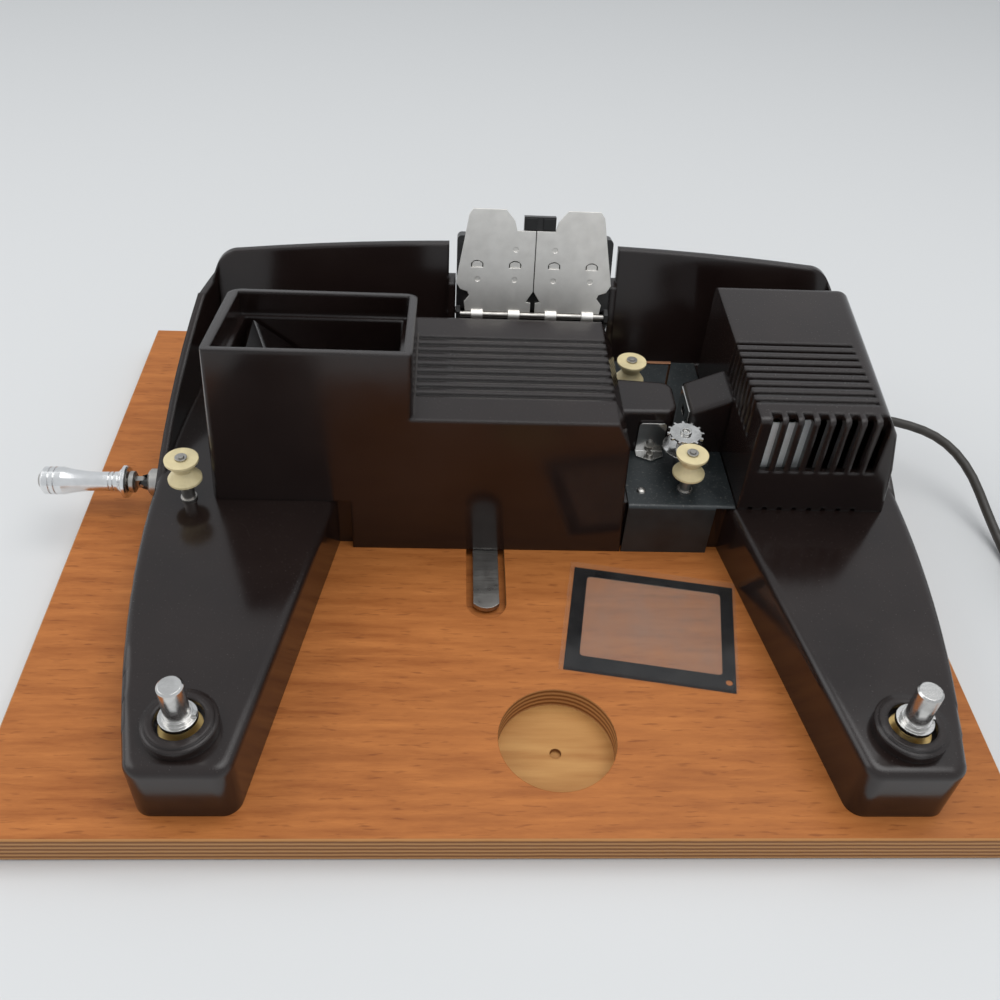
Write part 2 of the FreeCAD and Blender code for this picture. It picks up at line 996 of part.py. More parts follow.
def lamp_house():
    """The cover over the lamp, with its grooves and the slots that let the heat out."""
    body = new_body("lamp_house")
    none = as_size(0)
    far_high = d.lamp_high + 2
    start = lamp_section(body, d.lamp_near_y, none, d.lamp_right_top, d.lamp_high)
    end = lamp_section(body, d.lamp_far_y, none, d.lamp_far_right, far_high)
    loft(body, "AdditiveLoft", start, end)
    wall = d.lamp_wall
    start = lamp_section(body, d.lamp_near_y + wall, wall, d.lamp_right_top + 0.3, d.lamp_high)
    far_y = d.lamp_far_y - wall
    end = lamp_section(body, far_y, wall, d.lamp_far_right - 0.8, far_high - 0.2)
    shell = loft(body, "SubtractiveLoft", start, end)
    shell = soften("Fillet", shell, lamp_shoulder_edge, d.lamp_shoulder_round)
    shell = soften("Fillet", shell, lamp_far_edge, d.lamp_far_round)
    soften("Fillet", shell, lamp_near_edge, d.lamp_edge_round)

    clear = far_high + 5
    drawing = sketch(body, "XZ", d.groove_first_y)
    deep = d.groove_deep
    groove = [
        (d.lamp_left - 3, d.groove_foot),
        (d.lamp_left + deep, d.groove_foot),
        (d.lamp_left + deep, d.lamp_high - deep * 1.7),
        (d.lamp_left + deep * 1.7, d.lamp_high - deep),
        (d.groove_right, d.lamp_high - deep),
        (d.groove_right, clear),
        (d.lamp_left - 3, clear),
    ]
    outline(drawing, groove)
    first = pocket(drawing, d.groove_gap)
    repeat_along(body, first, "Y_Axis", d.groove_pitch, d.groove_count)

    drawing = sketch(body, "XZ", d.lamp_near_y - 1)
    left = d.louvre_first_x
    block(drawing, left, left + d.louvre_gap, d.louvre_foot, clear)
    first = pocket(drawing, wall + 2.4)
    repeat_along(body, first, "X_Axis", d.louvre_pitch, d.louvre_count)

    drawing = sketch(body, "XZ", d.lamp_near_y - 1)
    block(drawing, left, left + d.louvre_gap / 2, d.arm_high - 1, d.arm_high + 1.6)
    first = pocket(drawing, wall + 2)
    repeat_along(body, first, "X_Axis", d.louvre_pitch, d.louvre_count)
    drill(body, "YZ", d.lamp_left - 2, d.axis_y, d.axis_high, d.light_radius, wall + 4, 1)
    return body


def lamp_shoulder_edge(edge):
    """The long outer edges between the lamp house's top and its right side."""
    if not near(edge.BoundBox.YMin, d.lamp_near_y) or edge.BoundBox.YLength < 20:
        return False
    middle = edge.CenterOfMass
    return middle.x > d.groove_right.value - 4 and middle.z > d.arm_high.value + 5


def lamp_far_edge(edge):
    box = edge.BoundBox
    return near(box.YMin, d.lamp_far_y) and box.YLength < 0.1 and box.ZMin > d.lamp_high.value - 1


def lamp_near_edge(edge):
    box = edge.BoundBox
    on_face = near(box.YMin, d.lamp_near_y) and box.YLength < 0.1
    return on_face and box.XMin > d.lamp_left.value + 1 and box.ZMin > d.arm_high.value + 5


def lens_hood():
    """The blunt snout that carries the light from the film into the house."""
    body = new_body("lens_hood")
    drawing = sketch(body, "XY", d.deck_top)
    half = d.snout_width / 2
    root = house_side(d.deck_top) + 0.1
    nose = d.lens_tip_x - d.lens_nose
    corners = [
        (root, d.axis_y - half - 0.3),
        (nose, d.axis_y - half),
        (d.lens_tip_x, d.axis_y - half + d.lens_nose),
        (d.lens_tip_x, d.axis_y + half - d.lens_nose),
        (nose, d.axis_y + half),
        (root, d.axis_y + half + 1.5),
    ]
    outline(drawing, corners, {1: d.lens_nose, 3: d.lens_nose})
    solid = pad(drawing, d.lens_high - d.deck_top)
    soften("Fillet", solid, lens_top_edge, 1.2)
    bore = d.lens_tip_x - root + 3
    drill(body, "YZ", d.lens_tip_x + 1, d.axis_y, d.axis_high, d.light_radius, bore)
    room = d.prism_low + d.prism_high + 0.4 - d.deck_top
    drill(body, "XY", d.deck_top, d.prism_x, d.axis_y, d.prism_room, room, 1)
    return body


def lens_top_edge(edge):
    middle = edge.CenterOfMass
    return near(middle.z, d.lens_high) and middle.x > d.house_right.value + 0.5


def condenser_hood():
    """The snout on the lamp side. Its top climbs to the lamp house."""
    body = new_body("condenser_hood")
    half = d.snout_width / 2
    root = d.lamp_left
    drawing = sketch(body, "XZ", d.axis_y - half)
    side = [
        (d.lamp_tip_x, d.deck_top),
        (root, d.deck_top),
        (root, d.lamp_root_high),
        (d.lamp_tip_x, d.lamp_tip_high),
    ]
    outline(drawing, side)
    solid = pad(drawing, d.snout_width)
    soften("Fillet", solid, condenser_edge, 1.4)
    drill(body, "YZ", root + 1, d.axis_y, d.axis_high, d.light_radius, root - d.lamp_tip_x - 1.5)
    drill(body, "YZ", root + 1, d.axis_y, d.axis_high, d.light_radius / 2, 40)
    return body


def condenser_edge(edge):
    middle = edge.CenterOfMass
    return middle.z > d.axis_high.value and middle.x < d.lamp_left.value - 1


def deck_plate():
    """Folded sheet under the film path, between the house and the lamp house."""
    body = new_body("deck_plate")
    thick = d.sheet_thick
    bend = d.deck_bend
    high = d.deck_top
    near_y = d.house_near_y
    drawing = sketch(body, "YZ", d.deck_left)
    profile = [
        (near_y, 0),
        (near_y + thick, 0),
        (near_y + thick, high - bend),
        (near_y + bend, high - thick),
        (d.deck_far_y, high - thick),
        (d.deck_far_y, high),
        (near_y + bend, high),
        (near_y, high - bend),
    ]
    outline(drawing, profile, {2: -(bend - thick), 6: bend})
    pad(drawing, d.deck_right - d.deck_left)
    drawing = sketch(body, "XZ", near_y - 1)
    block(drawing, d.flange_right, d.deck_right + 5, -1, d.arm_high)
    pocket(drawing, 1 + thick * 2 + bend)
    drawing = sketch(body, "XY", high + 1)
    ear_right = d.notch_x + d.notch_half + d.seat_gap
    ear_near = panel_out(d.arm_high) - d.ear_deep - d.seat_gap
    block(drawing, d.deck_left - 1, ear_right, ear_near, d.deck_far_y + 1)
    pocket(drawing, 3, -1)
    above = high + 1
    for x, y in roller_places()[1:]:
        drill(body, "XY", above, x, y, d.pin_radius + 0.02, 3)
    drill(body, "XY", above, d.sprocket_x, d.sprocket_y, d.axle_hole, 3)
    drill(body, "XY", above, d.prism_x, d.axis_y, d.axle_hole, 3)
    return body


def turned(label, profile, x, y, z=None, turn=None):
    """A piece turned on a lathe. The profile gives radius and height round the piece's own axis."""
    body = new_body(label, x, y, z, turn)
    add_turned(body, profile)
    return body


def add_turned(body, profile, bows=None):
    drawing = sketch(body, "XZ")
    outline(drawing, profile, bows)
    feature = body.newObject("PartDesign::Revolution", drawing.Name + "_turn")
    feature.Profile = drawing
    axis = next(f for f in body.Origin.OriginFeatures if f.Role == "Z_Axis")
    feature.ReferenceAxis = (axis, [""])
    feature.Angle = 360
    return feature


def world_x(x):
    return d.view_x + x


def world_z(high):
    return d.board_thick + high


def roller(label, x, y):
    """A nylon roller with a waist, so that only the edges of the film touch it."""
    bore = d.pin_radius + d.run_gap
    high = d.roller_high - d.roller_low
    lip = d.roller_lip
    mid = high / 2
    profile = [
        (bore, 0),
        (d.roller_rim, 0),
        (d.roller_rim, lip),
        (d.roller_waist + 0.6, mid - 1.2),
        (d.roller_waist, mid),
        (d.roller_waist + 0.6, mid + 1.2),
        (d.roller_rim, high - lip),
        (d.roller_rim, high),
        (bore, high),
    ]
    return turned(label, profile, world_x(x), y, world_z(d.roller_low))


def roller_pins(label, places, foot):
    """The pins that rollers turn on, each with the cone that holds its roller up off the plate."""
    body = new_body(label)
    top = d.roller_high + d.pin_proud
    low = d.arm_high - d.wall - 1
    for start, end, radius in (
        (low, top, d.pin_radius),
        (foot, foot + 1, d.pin_foot_radius),
        (foot + 1, d.roller_low - d.seat_gap, d.pin_foot_radius * 0.8),
    ):
        drawing = sketch(body, "XY", start)
        for x, y in places:
            ring(drawing, x, y, radius)
        pad(drawing, end - start)
    return body


def roller_clips():
    """Three spring clips, one on top of each roller's pin."""
    body = new_body("roller_clips")
    low = d.roller_high + d.seat_gap
    for x, y in roller_places():
        drawing = sketch(body, "XY", low)
        ring(drawing, x, y, d.clip_radius)
        ring(drawing, x, y, d.pin_radius + 0.02)
        pad(drawing, d.clip_thick)
    return body


def spindle(label, side):
    """The spindle that a reel is set on: shaft, disc with its shoulder and key, and smooth pin."""
    x = world_x(side * d.spindle_x)
    top = d.spindle_top
    low = d.disc_low
    profile = [
        (0, d.spindle_foot),
        (d.shaft_radius, d.spindle_foot),
        (d.shaft_radius, low),
        (d.disc_radius, low),
        (d.disc_radius, low + d.disc_thick),
        (d.shoulder_radius, low + d.disc_thick),
        (d.shoulder_radius, low + d.disc_thick + d.shoulder_high),
        (d.spindle_radius, low + d.disc_thick + d.shoulder_high),
        (d.spindle_radius, top - 0.6),
        (d.spindle_radius - 0.6, top),
        (0, top),
    ]
    body = turned(label, profile, x, d.spindle_y, world_z(0))
    drawing = sketch(body, "XY", low + d.disc_thick - 0.2)
    block(drawing, d.shoulder_radius - 0.4, d.disc_radius - 0.1, -0.8, 0.8)
    pad(drawing, d.shoulder_high)
    return body


def spindle_collars():
    """The two rings round the spindles' wells."""
    body = new_body("spindle_collars")
    for start, length, radius in (
        (d.arm_high, d.collar_high - 0.8, d.collar_foot_radius),
        (d.arm_high + d.collar_high - 0.8, 0.8, d.collar_top_radius),
    ):
        drawing = sketch(body, "XY", start)
        for side in (-1, 1):
            ring(drawing, side * d.spindle_x, d.spindle_y, radius)
            ring(drawing, side * d.spindle_x, d.spindle_y, d.well_radius)
        pad(drawing, length)
    return body


def spindle_bushes():
    """Two flanged bushes, one for each spindle."""
    body = new_body("spindle_bushes")
    low = d.arm_high - d.wall - 3
    for start, length, radius in (
        (low, d.wall + 3, d.bush_radius),
        (d.arm_high, 1.2, d.bush_radius + 1.8),
    ):
        drawing = sketch(body, "XY", start)
        for side in (-1, 1):
            ring(drawing, side * d.spindle_x, d.spindle_y, radius)
            ring(drawing, side * d.spindle_x, d.spindle_y, d.shaft_radius + d.run_gap)
        pad(drawing, length)
    return body


def toothed_disc(body, low, thick, tip_radius, root_radius, count):
    """A flat disc with square-cut teeth round it."""
    drawing = sketch(body, "XY", low)
    ring(drawing, 0, 0, root_radius)
    disc = pad(drawing, thick)
    drawing = sketch(body, "XY", low)
    half = root_radius * (math.pi / count.value * 0.45)
    tip = half * 0.55
    corners = [(root_radius - 0.5, -half), (tip_radius, -tip), (tip_radius, tip), (root_radius - 0.5, half)]
    outline(drawing, corners)
    tooth = pad(drawing, thick)
    pattern = body.newObject("PartDesign::PolarPattern", tooth.Name + "_round")
    pattern.Originals = [tooth]
    axis = next(f for f in body.Origin.OriginFeatures if f.Role == "Z_Axis")
    pattern.Axis = (axis, [""])
    pattern.Angle = 360
    bind(pattern, "Occurrences", count)
    body.Tip = pattern
    return disc


def film_sprocket():
    """The toothed wheel that the film turns, on its shaft down through the deck."""
    top = d.sprocket_high + d.sprocket_thick
    shaft = d.axle_radius
    low = d.gear_low
    profile = [
        (0, low - 1.5),
        (shaft, low - 1.5),
        (shaft, d.deck_top + 1.3),
        (d.sprocket_hub, d.deck_top + 1.3),
        (d.sprocket_hub, d.flange_high),
        (d.sprocket_flange, d.flange_high),
        (d.sprocket_flange, d.flange_high + 0.7),
        (d.sprocket_hub, d.flange_high + 0.7),
        (d.sprocket_hub, d.sprocket_high),
        (2.2, top),
        (2.2, top + 1),
        (1.5, top + 1),
        (1.2, top - 1),
        (0, top - 1),
    ]
    body = turned("film_sprocket", profile, world_x(d.sprocket_x), d.sprocket_y, world_z(0))
    tip = d.sprocket_radius
    toothed_disc(body, d.sprocket_high, d.sprocket_thick, tip, tip - 1.1, d.tooth_count)
    return body


def gear(label, x, y, tip_radius, count, bore):
    body = new_body(label, world_x(x), y, world_z(0))
    toothed_disc(body, d.gear_low, d.gear_thick, tip_radius, tip_radius - 0.8, as_size(count))
    drill(body, "XY", d.gear_low - 1, 0, 0, bore, d.gear_thick + 2, 1)
    return body


def sprocket_gear():
    """The large gear on the sprocket's shaft, under the tray, that turns the prism three times as fast."""
    radius = d.gear_radius
    return gear("sprocket_gear", d.sprocket_x, d.sprocket_y, radius, 36, d.axle_radius + 0.02)


def prism_holder():
    """The turntable under the prism, with its shaft and its small gear under the tray."""
    low = d.gear_low
    profile = [
        (0, low - 1.5),
        (d.axle_radius, low - 1.5),
        (d.axle_radius, d.deck_top + 1.3),
        (d.prism_side * 0.8, d.deck_top + 1.3),
        (d.prism_side * 0.8, d.prism_low),
        (0, d.prism_low),
    ]
    body = turned("prism_holder", profile, world_x(d.prism_x), d.axis_y, world_z(0))
    tip = d.pinion_radius
    toothed_disc(body, low, d.gear_thick, tip, tip - 0.8, as_size(12))
    return body


def prism():
    """The square glass prism that stills the moving film's picture."""
    body = new_body("prism", world_x(d.prism_x), d.axis_y, world_z(d.prism_low))
    drawing = sketch(body, "XY")
    half = d.prism_side / 2
    block(drawing, -half, half, -half, half)
    solid = pad(drawing, d.prism_high)
    soften("Chamfer", solid, upright, 0.3)
    return body


def lens_barrel():
    """The tube that holds the projection lens in the light hole of the house."""
    end = house_side(d.deck_top) + 0.1
    profile = [
        (d.barrel_bore, 0),
        (d.barrel_radius, 0),
        (d.barrel_radius, d.barrel_long),
        (d.light_radius + 2, d.barrel_long),
        (d.light_radius + 2, d.barrel_long + 2),
        (d.barrel_bore, d.barrel_long + 2),
    ]
    turn = Rotation(Vector(0, 1, 0), -90)
    place_x = world_x(end + 4)
    return turned("lens_barrel", profile, place_x, d.axis_y, world_z(d.axis_high), turn)


def lens(label, x, radius, edge, bow):
    """A glass lens with two bulging faces, on the light's axis."""
    turn = Rotation(Vector(0, 1, 0), -90)
    body = new_body(label, world_x(x), d.axis_y, world_z(d.axis_high), turn)
    half = edge / 2
    crown = bow - Size(math.sqrt(bow.value**2 - radius.value**2), f"sqrt(({bow.text})^2 - ({radius.text})^2)")
    corners = [(0, -half - crown), (radius, -half), (radius, half), (0, half + crown)]
    add_turned(body, corners, {0: bow, 2: bow})
    return body


def mirror():
    """The mirror in the hood that turns the picture up to the screen."""
    body = mirror_frame("mirror")
    drawing = sketch(body, "XY", -d.mirror_wide / 2)
    block(drawing, 0, d.mirror_long, 0, d.mirror_thick)
    pad(drawing, d.mirror_wide)
    return body


def mirror_frame(label):
    """A body whose X runs up the mirror's slope and whose Z runs along -Y."""
    turn = Rotation(Vector(0, 1, 0), d.mirror_lean.value - 180) * Rotation(Vector(1, 0, 0), 90)
    return new_body(label, world_x(d.mirror_foot_x), d.mirror_y, world_z(d.mirror_foot_high), turn)


def mirror_bracket():
    """The bent sheet that carries the mirror on the tray."""
    body = new_body("mirror_bracket")
    drawing = sketch(body, "XZ", d.mirror_y - d.mirror_wide / 2 + 4)
    rise = d.mirror_long * 0.94
    lean = d.mirror_lean
    foot_x = d.mirror_foot_x - 1.6
    foot_high = d.mirror_foot_high - 1.75
    thick = d.sheet_thick
    top_x = foot_x - rise * cos_of(lean)
    top_high = foot_high + rise * cos_of(lean) * tan_of(lean)
    low = d.arm_high + 0.05
    corners = [
        (foot_x, low),
        (foot_x, foot_high),
        (top_x, top_high),
        (top_x - thick * 0.64, top_high - thick * 0.77),
        (foot_x - thick, low + thick),
        (foot_x - d.mirror_foot_long, low + thick),
        (foot_x - d.mirror_foot_long, low),
    ]
    outline(drawing, corners)
    pad(drawing, d.mirror_wide - 8)
    return body


def mirror_screw():
    """The screw that holds the mirror's bracket down."""
    x = world_x(d.mirror_foot_x - d.mirror_foot_long / 2 - 2)
    low = d.arm_high + 0.05 + d.sheet_thick
    profile = [(0, 0), (2.4, 0), (2.4, 0.8), (1.6, 1.6), (0, 1.7)]
    return turned("mirror_screw", profile, x, d.mirror_y, world_z(low))


def heat_shield():
    """The bent sheet round the lamp, seen through the louvres."""
    body = new_body("heat_shield", world_x(d.lamp_x), d.axis_y, world_z(0))
    drawing = sketch(body, "XY", d.arm_high + 0.3)
    outer = d.shield_radius
    inner = outer - d.sheet_thick
    side = 0.94
    away = 0.342
    corners = [
        (-outer * side, -outer * away),
        (outer * 0.5, -outer * 0.866),
        (inner * 0.5, -inner * 0.866),
        (-inner * side, -inner * away),
    ]
    outline(drawing, corners, {0: outer, 2: -inner})
    pad(drawing, d.shield_high)
    return body


def lamp_bulb():
    """The lamp: a glass bulb on a brass cap."""
    radius = d.bulb_radius
    body = new_body("lamp_bulb", world_x(d.lamp_x), d.axis_y, world_z(d.arm_high))
    corners = [
        (0, 6),
        (d.cap_radius, 6),
        (d.cap_radius, 10),
        (radius, d.bulb_mid),
        (0, d.bulb_mid + radius),
    ]
    add_turned(body, corners, {3: radius})
    return body


def lamp_socket():
    """The socket that the lamp's cap stands in."""
    profile = [
        (0, 0.05),
        (d.cap_radius + 4, 0.05),
        (d.cap_radius + 4, 1.6),
        (d.cap_radius + 1.2, 1.6),
        (d.cap_radius + 1.2, 9),
        (d.cap_radius + 0.1, 9),
        (d.cap_radius + 0.1, 5.9),
        (0, 5.9),
    ]
    return turned("lamp_socket", profile, world_x(d.lamp_x), d.axis_y, world_z(d.arm_high))


def aperture_plate():
    """The bright plate with the film's window, on the end of the condenser hood."""
    body = new_body("aperture_plate")
    half = d.snout_width / 2 - 1.5
    drawing = sketch(body, "YZ", d.lamp_tip_x - 0.1)
    block(drawing, d.axis_y - half, d.axis_y + half, d.deck_top + 2, d.lamp_tip_high - 1)
    pad(drawing, 0.5, -1)
    drawing = sketch(body, "YZ", d.lamp_tip_x)
    block(drawing, d.axis_y - 2.5, d.axis_y + 2.5, d.axis_high - 1.8, d.axis_high + 1.8)
    pocket(drawing, 3, -1)
    return body


def gate_bracket():
    """The folded bracket before the film gate, with a pointed foot on the deck."""
    body = new_body("gate_bracket")
    low = d.deck_top + 0.05
    left = d.gate_left
    right = d.gate_right
    middle = (left + right) / 2
    drawing = sketch(body, "XY", low)
    foot = [(left, d.gate_fold_y), (left, d.gate_foot_y + 3), (middle, d.gate_foot_y)]
    foot += [(right, d.gate_foot_y + 3), (right, d.gate_fold_y)]
    outline(drawing, foot)
    pad(drawing, d.sheet_thick)
    drawing = sketch(body, "XZ", d.gate_fold_y)
    block(drawing, left, right, low, d.gate_high)
    plate = pad(drawing, d.sheet_thick)
    soften("Fillet", plate, gate_top_corner, 1.5)
    return body


def gate_top_corner(edge):
    return is_straight(edge, AWAY) and near(edge.CenterOfMass.z, d.gate_high)


def copper_spring():
    """The copper leaf on the deck beside the far roller."""
    body = new_body("copper_spring")
    low = d.deck_top + 0.05
    left = d.spring_left
    right = d.spring_right
    thick = 0.6
    drawing = sketch(body, "XZ", d.spring_y)
    corners = [
        (left, d.spring_high),
        (right - thick, d.spring_high),
        (right - thick, low + thick),
        (right - 8, low + thick),
        (right - 8, low),
        (right, low),
        (right, d.spring_high + thick),
        (left, d.spring_high + thick),
    ]
    outline(drawing, corners)
    pad(drawing, d.spring_wide)
    return body


def deck_rivet():
    """The rivet near the front of the deck."""
    profile = [(0, 0), (1.8, 0), (1.4, 0.7), (0.5, 1), (0, 1)]
    high = world_z(d.deck_top + 0.02)
    return turned("deck_rivet", profile, world_x(d.rivet_x), d.rivet_y, high)


def gate_screws():
    """The two screws of the gate's bracket."""
    body = new_body("gate_screws")
    low = d.deck_top + 0.06 + d.sheet_thick
    middle = (d.gate_left + d.gate_right) / 2
    drawing = sketch(body, "XY", low)
    ring(drawing, middle, d.gate_fold_y - 2.5, 1.5)
    pad(drawing, 0.9)
    drawing = sketch(body, "XZ", d.gate_fold_y - 0.05)
    ring(drawing, middle, d.gate_screw_high, 1.5)
    pad(drawing, 0.9, -1)
    return body


def outward(label, x):
    """A body whose Z runs out along the crank's axis, to the left, and whose X runs up."""
    turn = Rotation(Vector(0, 1, 0), -90)
    return new_body(label, world_x(x), d.crank_y, world_z(d.crank_high), turn)


def crank_bush():
    """The sleeve in the side wall that the crank's shaft runs in."""
    body = outward("crank_bush", d.sleeve_out)
    bore = d.crank_shaft_radius + d.run_gap
    profile = [
        (bore, -d.sleeve_long - 6),
        (d.crank_bush_radius, -d.sleeve_long - 6),
        (d.crank_bush_radius, -d.sleeve_long),
        (d.sleeve_radius, -d.sleeve_long),
        (d.sleeve_radius, -0.8),
        (d.sleeve_radius - 0.8, 0),
        (bore, 0),
    ]
    add_turned(body, profile)
    return body


def crank_shaft():
    """The crank's shaft: a bevel wheel inside the tray, and a fork outside the wall."""
    body = outward("crank_shaft", d.knuckle_x)
    shaft = d.crank_shaft_radius
    fork = d.knuckle_x - d.sleeve_out + 0.3
    apex = d.lay_x - d.knuckle_x
    small = d.bevel_near
    large = d.bevel_far
    slack = 0.25
    profile = [
        (0, -apex + small),
        (small - slack, -apex + small),
        (large - slack, -apex + large),
        (large - 1.5, -apex + large + 1.2),
        (shaft, -apex + large + 1.2),
        (shaft, fork),
        (d.knuckle_radius, fork),
        (d.waist_radius, 0),
        (2, 1),
        (1.2, 1.8),
        (0, 2),
    ]
    add_turned(body, profile)
    drawing = sketch(body, "XZ", -d.fork_gap)
    block(drawing, -8, 8, -2.2, 5)
    pocket(drawing, d.fork_gap * 2)
    drill(body, "XZ", -8, 0, 0, d.fold_pin_radius + 0.02, 16, 1)
    return body


def fold_pin():
    """The pin that the crank's arm folds on."""
    body = outward("fold_pin", d.knuckle_x)
    drawing = sketch(body, "XZ")
    ring(drawing, 0, 0, d.fold_pin_radius)
    pad(drawing, d.waist_radius * 1.8, both=True)
    return body


def crank_arm():
    """The crank's arm: a tongue in the fork, a knurled ring and the axle of the grip."""
    body = outward("crank_arm", d.knuckle_x)
    tip = d.knuckle_x - d.grip_tip_x
    profile = [
        (0, 2.4),
        (3.2, 2.4),
        (d.ring_radius, 3),
        (d.ring_radius, d.ring_long + 2.1),
        (d.ring_radius - 0.4, d.ring_long + 2.4),
        (d.grip_axle_radius, d.ring_long + 2.4),
        (d.grip_axle_radius, tip - 1.2),
        (0, tip - 1.2),
    ]
    add_turned(body, profile)
    drawing = sketch(body, "XZ", -d.fork_gap + 0.3)
    corners = [(-1.9, 3), (-1.9, 0), (1.9, 0), (1.9, 3)]
    outline(drawing, corners, {1: 1.95})
    pad(drawing, d.fork_gap * 2 - 0.6)
    drill(body, "XZ", -8, 0, 0, d.fold_pin_radius + d.run_gap, 16, 1)
    return body


def crank_grip():
    """The turned grip, free on its axle, with fine grooves round its neck and tip."""
    body = outward("crank_grip", d.knuckle_x)
    root = d.knuckle_x - d.grip_root_x
    tip = d.knuckle_x - d.grip_tip_x
    bore = d.grip_axle_radius + d.run_gap
    face = d.ring_long + 2.7
    profile = [
        (bore, face),
        (d.flange_radius - 0.6, face),
        (d.flange_radius, face + 0.6),
        (d.flange_radius, root - 0.5),
        (d.flange_radius - 0.8, root),
        (d.grip_waist_radius, root + 1.6),
        (d.grip_waist_radius - 0.2, root + 7),
        (d.grip_end_radius, tip - 8),
        (d.grip_end_radius, tip - 1),
        (d.grip_end_radius - 1, tip),
        (bore, tip),
    ]
    add_turned(body, profile, {6: -60})
    for start in (root + 3, root + 4.6, tip - 5.6, tip - 3.6):
        drawing = sketch(body, "XZ")
        wide = 0.5
        block(drawing, 3.4 if start.value < 15 else d.grip_end_radius - 0.45, 8, start, start + wide)
        feature = body.newObject("PartDesign::Groove", drawing.Name + "_groove")
        feature.Profile = drawing
        axis = next(f for f in body.Origin.OriginFeatures if f.Role == "Z_Axis")
        feature.ReferenceAxis = (axis, [""])
        feature.Angle = 360
    return body


def grip_screw():
    """The screw that keeps the grip on its axle."""
    body = outward("grip_screw", d.knuckle_x)
    tip = d.knuckle_x - d.grip_tip_x
    profile = [
        (0, tip - 1.18),
        (0.9, tip - 1.18),
        (0.9, tip + 0.3),
        (3.4, tip + 0.3),
        (2.8, tip + 1.2),
        (0, tip + 1.5),
    ]
    add_turned(body, profile)
    return body


def layshaft():
    """The upright shaft that the crank turns: a bevel wheel above a large pulley."""
    apex = d.crank_high
    small = d.bevel_near
    large = d.bevel_far
    slack = 0.25
    high = d.belt_high + d.pulley_thick / 2
    low = d.belt_high - d.pulley_thick / 2
    shaft = d.lay_radius
    big = d.lay_pulley_radius
    profile = [
        (0, 0.4),
        (shaft, 0.4),
        (shaft, low),
        (big, low),
        (big - 1.4, d.belt_high),
        (big, high),
        (shaft + 2, high),
        (large - 1.5, apex - large - 0.5),
        (large - slack, apex - large),
        (small - slack, apex - small),
        (shaft, apex - small),
        (shaft, d.arm_high - d.wall + 0.9),
        (0, d.arm_high - d.wall + 0.9),
    ]
    return turned("layshaft", profile, world_x(d.lay_x), d.lay_y, world_z(0))


def left_pulley():
    """The small pulley on the left spindle's shaft."""
    high = d.belt_high + d.pulley_thick / 2
    low = d.belt_high - d.pulley_thick / 2
    radius = d.pulley_radius
    bore = d.shaft_radius + 0.02
    profile = [
        (bore, low),
        (radius, low),
        (radius - 1.4, d.belt_high),
        (radius, high),
        (bore, high),
    ]
    x = world_x(-d.spindle_x)
    return turned("left_pulley", profile, x, d.spindle_y, world_z(0))


def drive_belt():
    """The rubber belt between the two pulleys, a straight-sided loop."""
    body = new_body("drive_belt")
    inside = -d.belt_sunk
    for grow, cut in ((inside + d.belt_thick, False), (inside, True)):
        low = d.belt_high - d.belt_thick / 2
        drawing = sketch(body, "XY", low)
        belt_outline(drawing, grow)
        if cut:
            pocket(drawing, d.belt_thick)
        else:
            pad(drawing, d.belt_thick)
    return body


def belt_outline(drawing, grow):
    """The belt's line, a little outside both pulleys."""
    far = d.lay_pulley_radius + grow
    close = d.pulley_radius + grow
    left = -d.spindle_x
    corners = [
        (left - close, d.spindle_y),
        (left, d.spindle_y - close),
        (left + close, d.spindle_y),
        (d.lay_x + far, d.lay_y),
        (d.lay_x, d.lay_y + far),
        (d.lay_x - far, d.lay_y),
    ]
    outline(drawing, corners, {0: close, 1: close, 3: far, 4: far})


LEAN = Rotation(Vector(1, 0, 0), -d.panel_lean.value)


def splicer_body(label):
    """A body hung in the splicer's frame: the origin on the pivot, Z up the slope, -Y its face."""
    return new_body(label, world_x(d.notch_x), d.pivot_y, world_z(d.pivot_high), LEAN)


def splicer_block():
    """The thick bed of the splicer, between the ears of the panels."""
    body = splicer_body("splicer_block")
    half = d.splicer_half
    face = -d.splicer_face
    drawing = sketch(body, "XZ", face)
    block(drawing, -half, half, d.splicer_low, d.splicer_top)
    solid = pad(drawing, d.splicer_thick)
    soften("Fillet", solid, bed_corner, 2)
    drawing = sketch(body, "YZ", -half + 2)
    ring(drawing, -d.rod_off, 0, d.knuckle_room)
    pocket(drawing, half * 2 - 4)
    for side in (-1, 1):
        drawing = sketch(body, "YZ", side * (half - 0.9))
        tip = -d.rod_off - 2
        lug = [(tip, -1.6), (face + 0.5, -3.6), (face + 0.5, 3.6), (tip, 1.6)]
        outline(drawing, lug)
        pad(drawing, 1.8, both=True)
    drawing = sketch(body, "XZ", face)
    block(drawing, d.tongue_left, d.tongue_right, d.splicer_top - 1, d.tongue_top)
    pad(drawing, d.tongue_thick)
    drill(body, "YZ", -half - 1, -d.rod_off, 0, d.rod_radius + 0.02, half * 2 + 2, 1)
    drill(body, "YZ", -half - 1, 0, 0, d.pivot_radius + 0.02, half * 2 + 2, 1)
    return body


def bed_corner(edge):
    return is_straight(edge, AWAY)


def hinge_rod():
    """The steel rod that both plates turn on."""
    body = splicer_body("hinge_rod")
    drawing = sketch(body, "YZ")
    ring(drawing, -d.rod_off, 0, d.rod_radius)
    pad(drawing, d.splicer_half * 2 - 1, both=True)
    return body


def pivot_pins():
    """The two short pins between the block and the ears."""
    body = splicer_body("pivot_pins")
    for side in (-1, 1):
        drawing = sketch(body, "YZ", side * (d.splicer_half + d.ear_thick / 4))
        ring(drawing, 0, 0, d.pivot_radius)
        pad(drawing, d.ear_thick * 1.5, both=True)
    return body


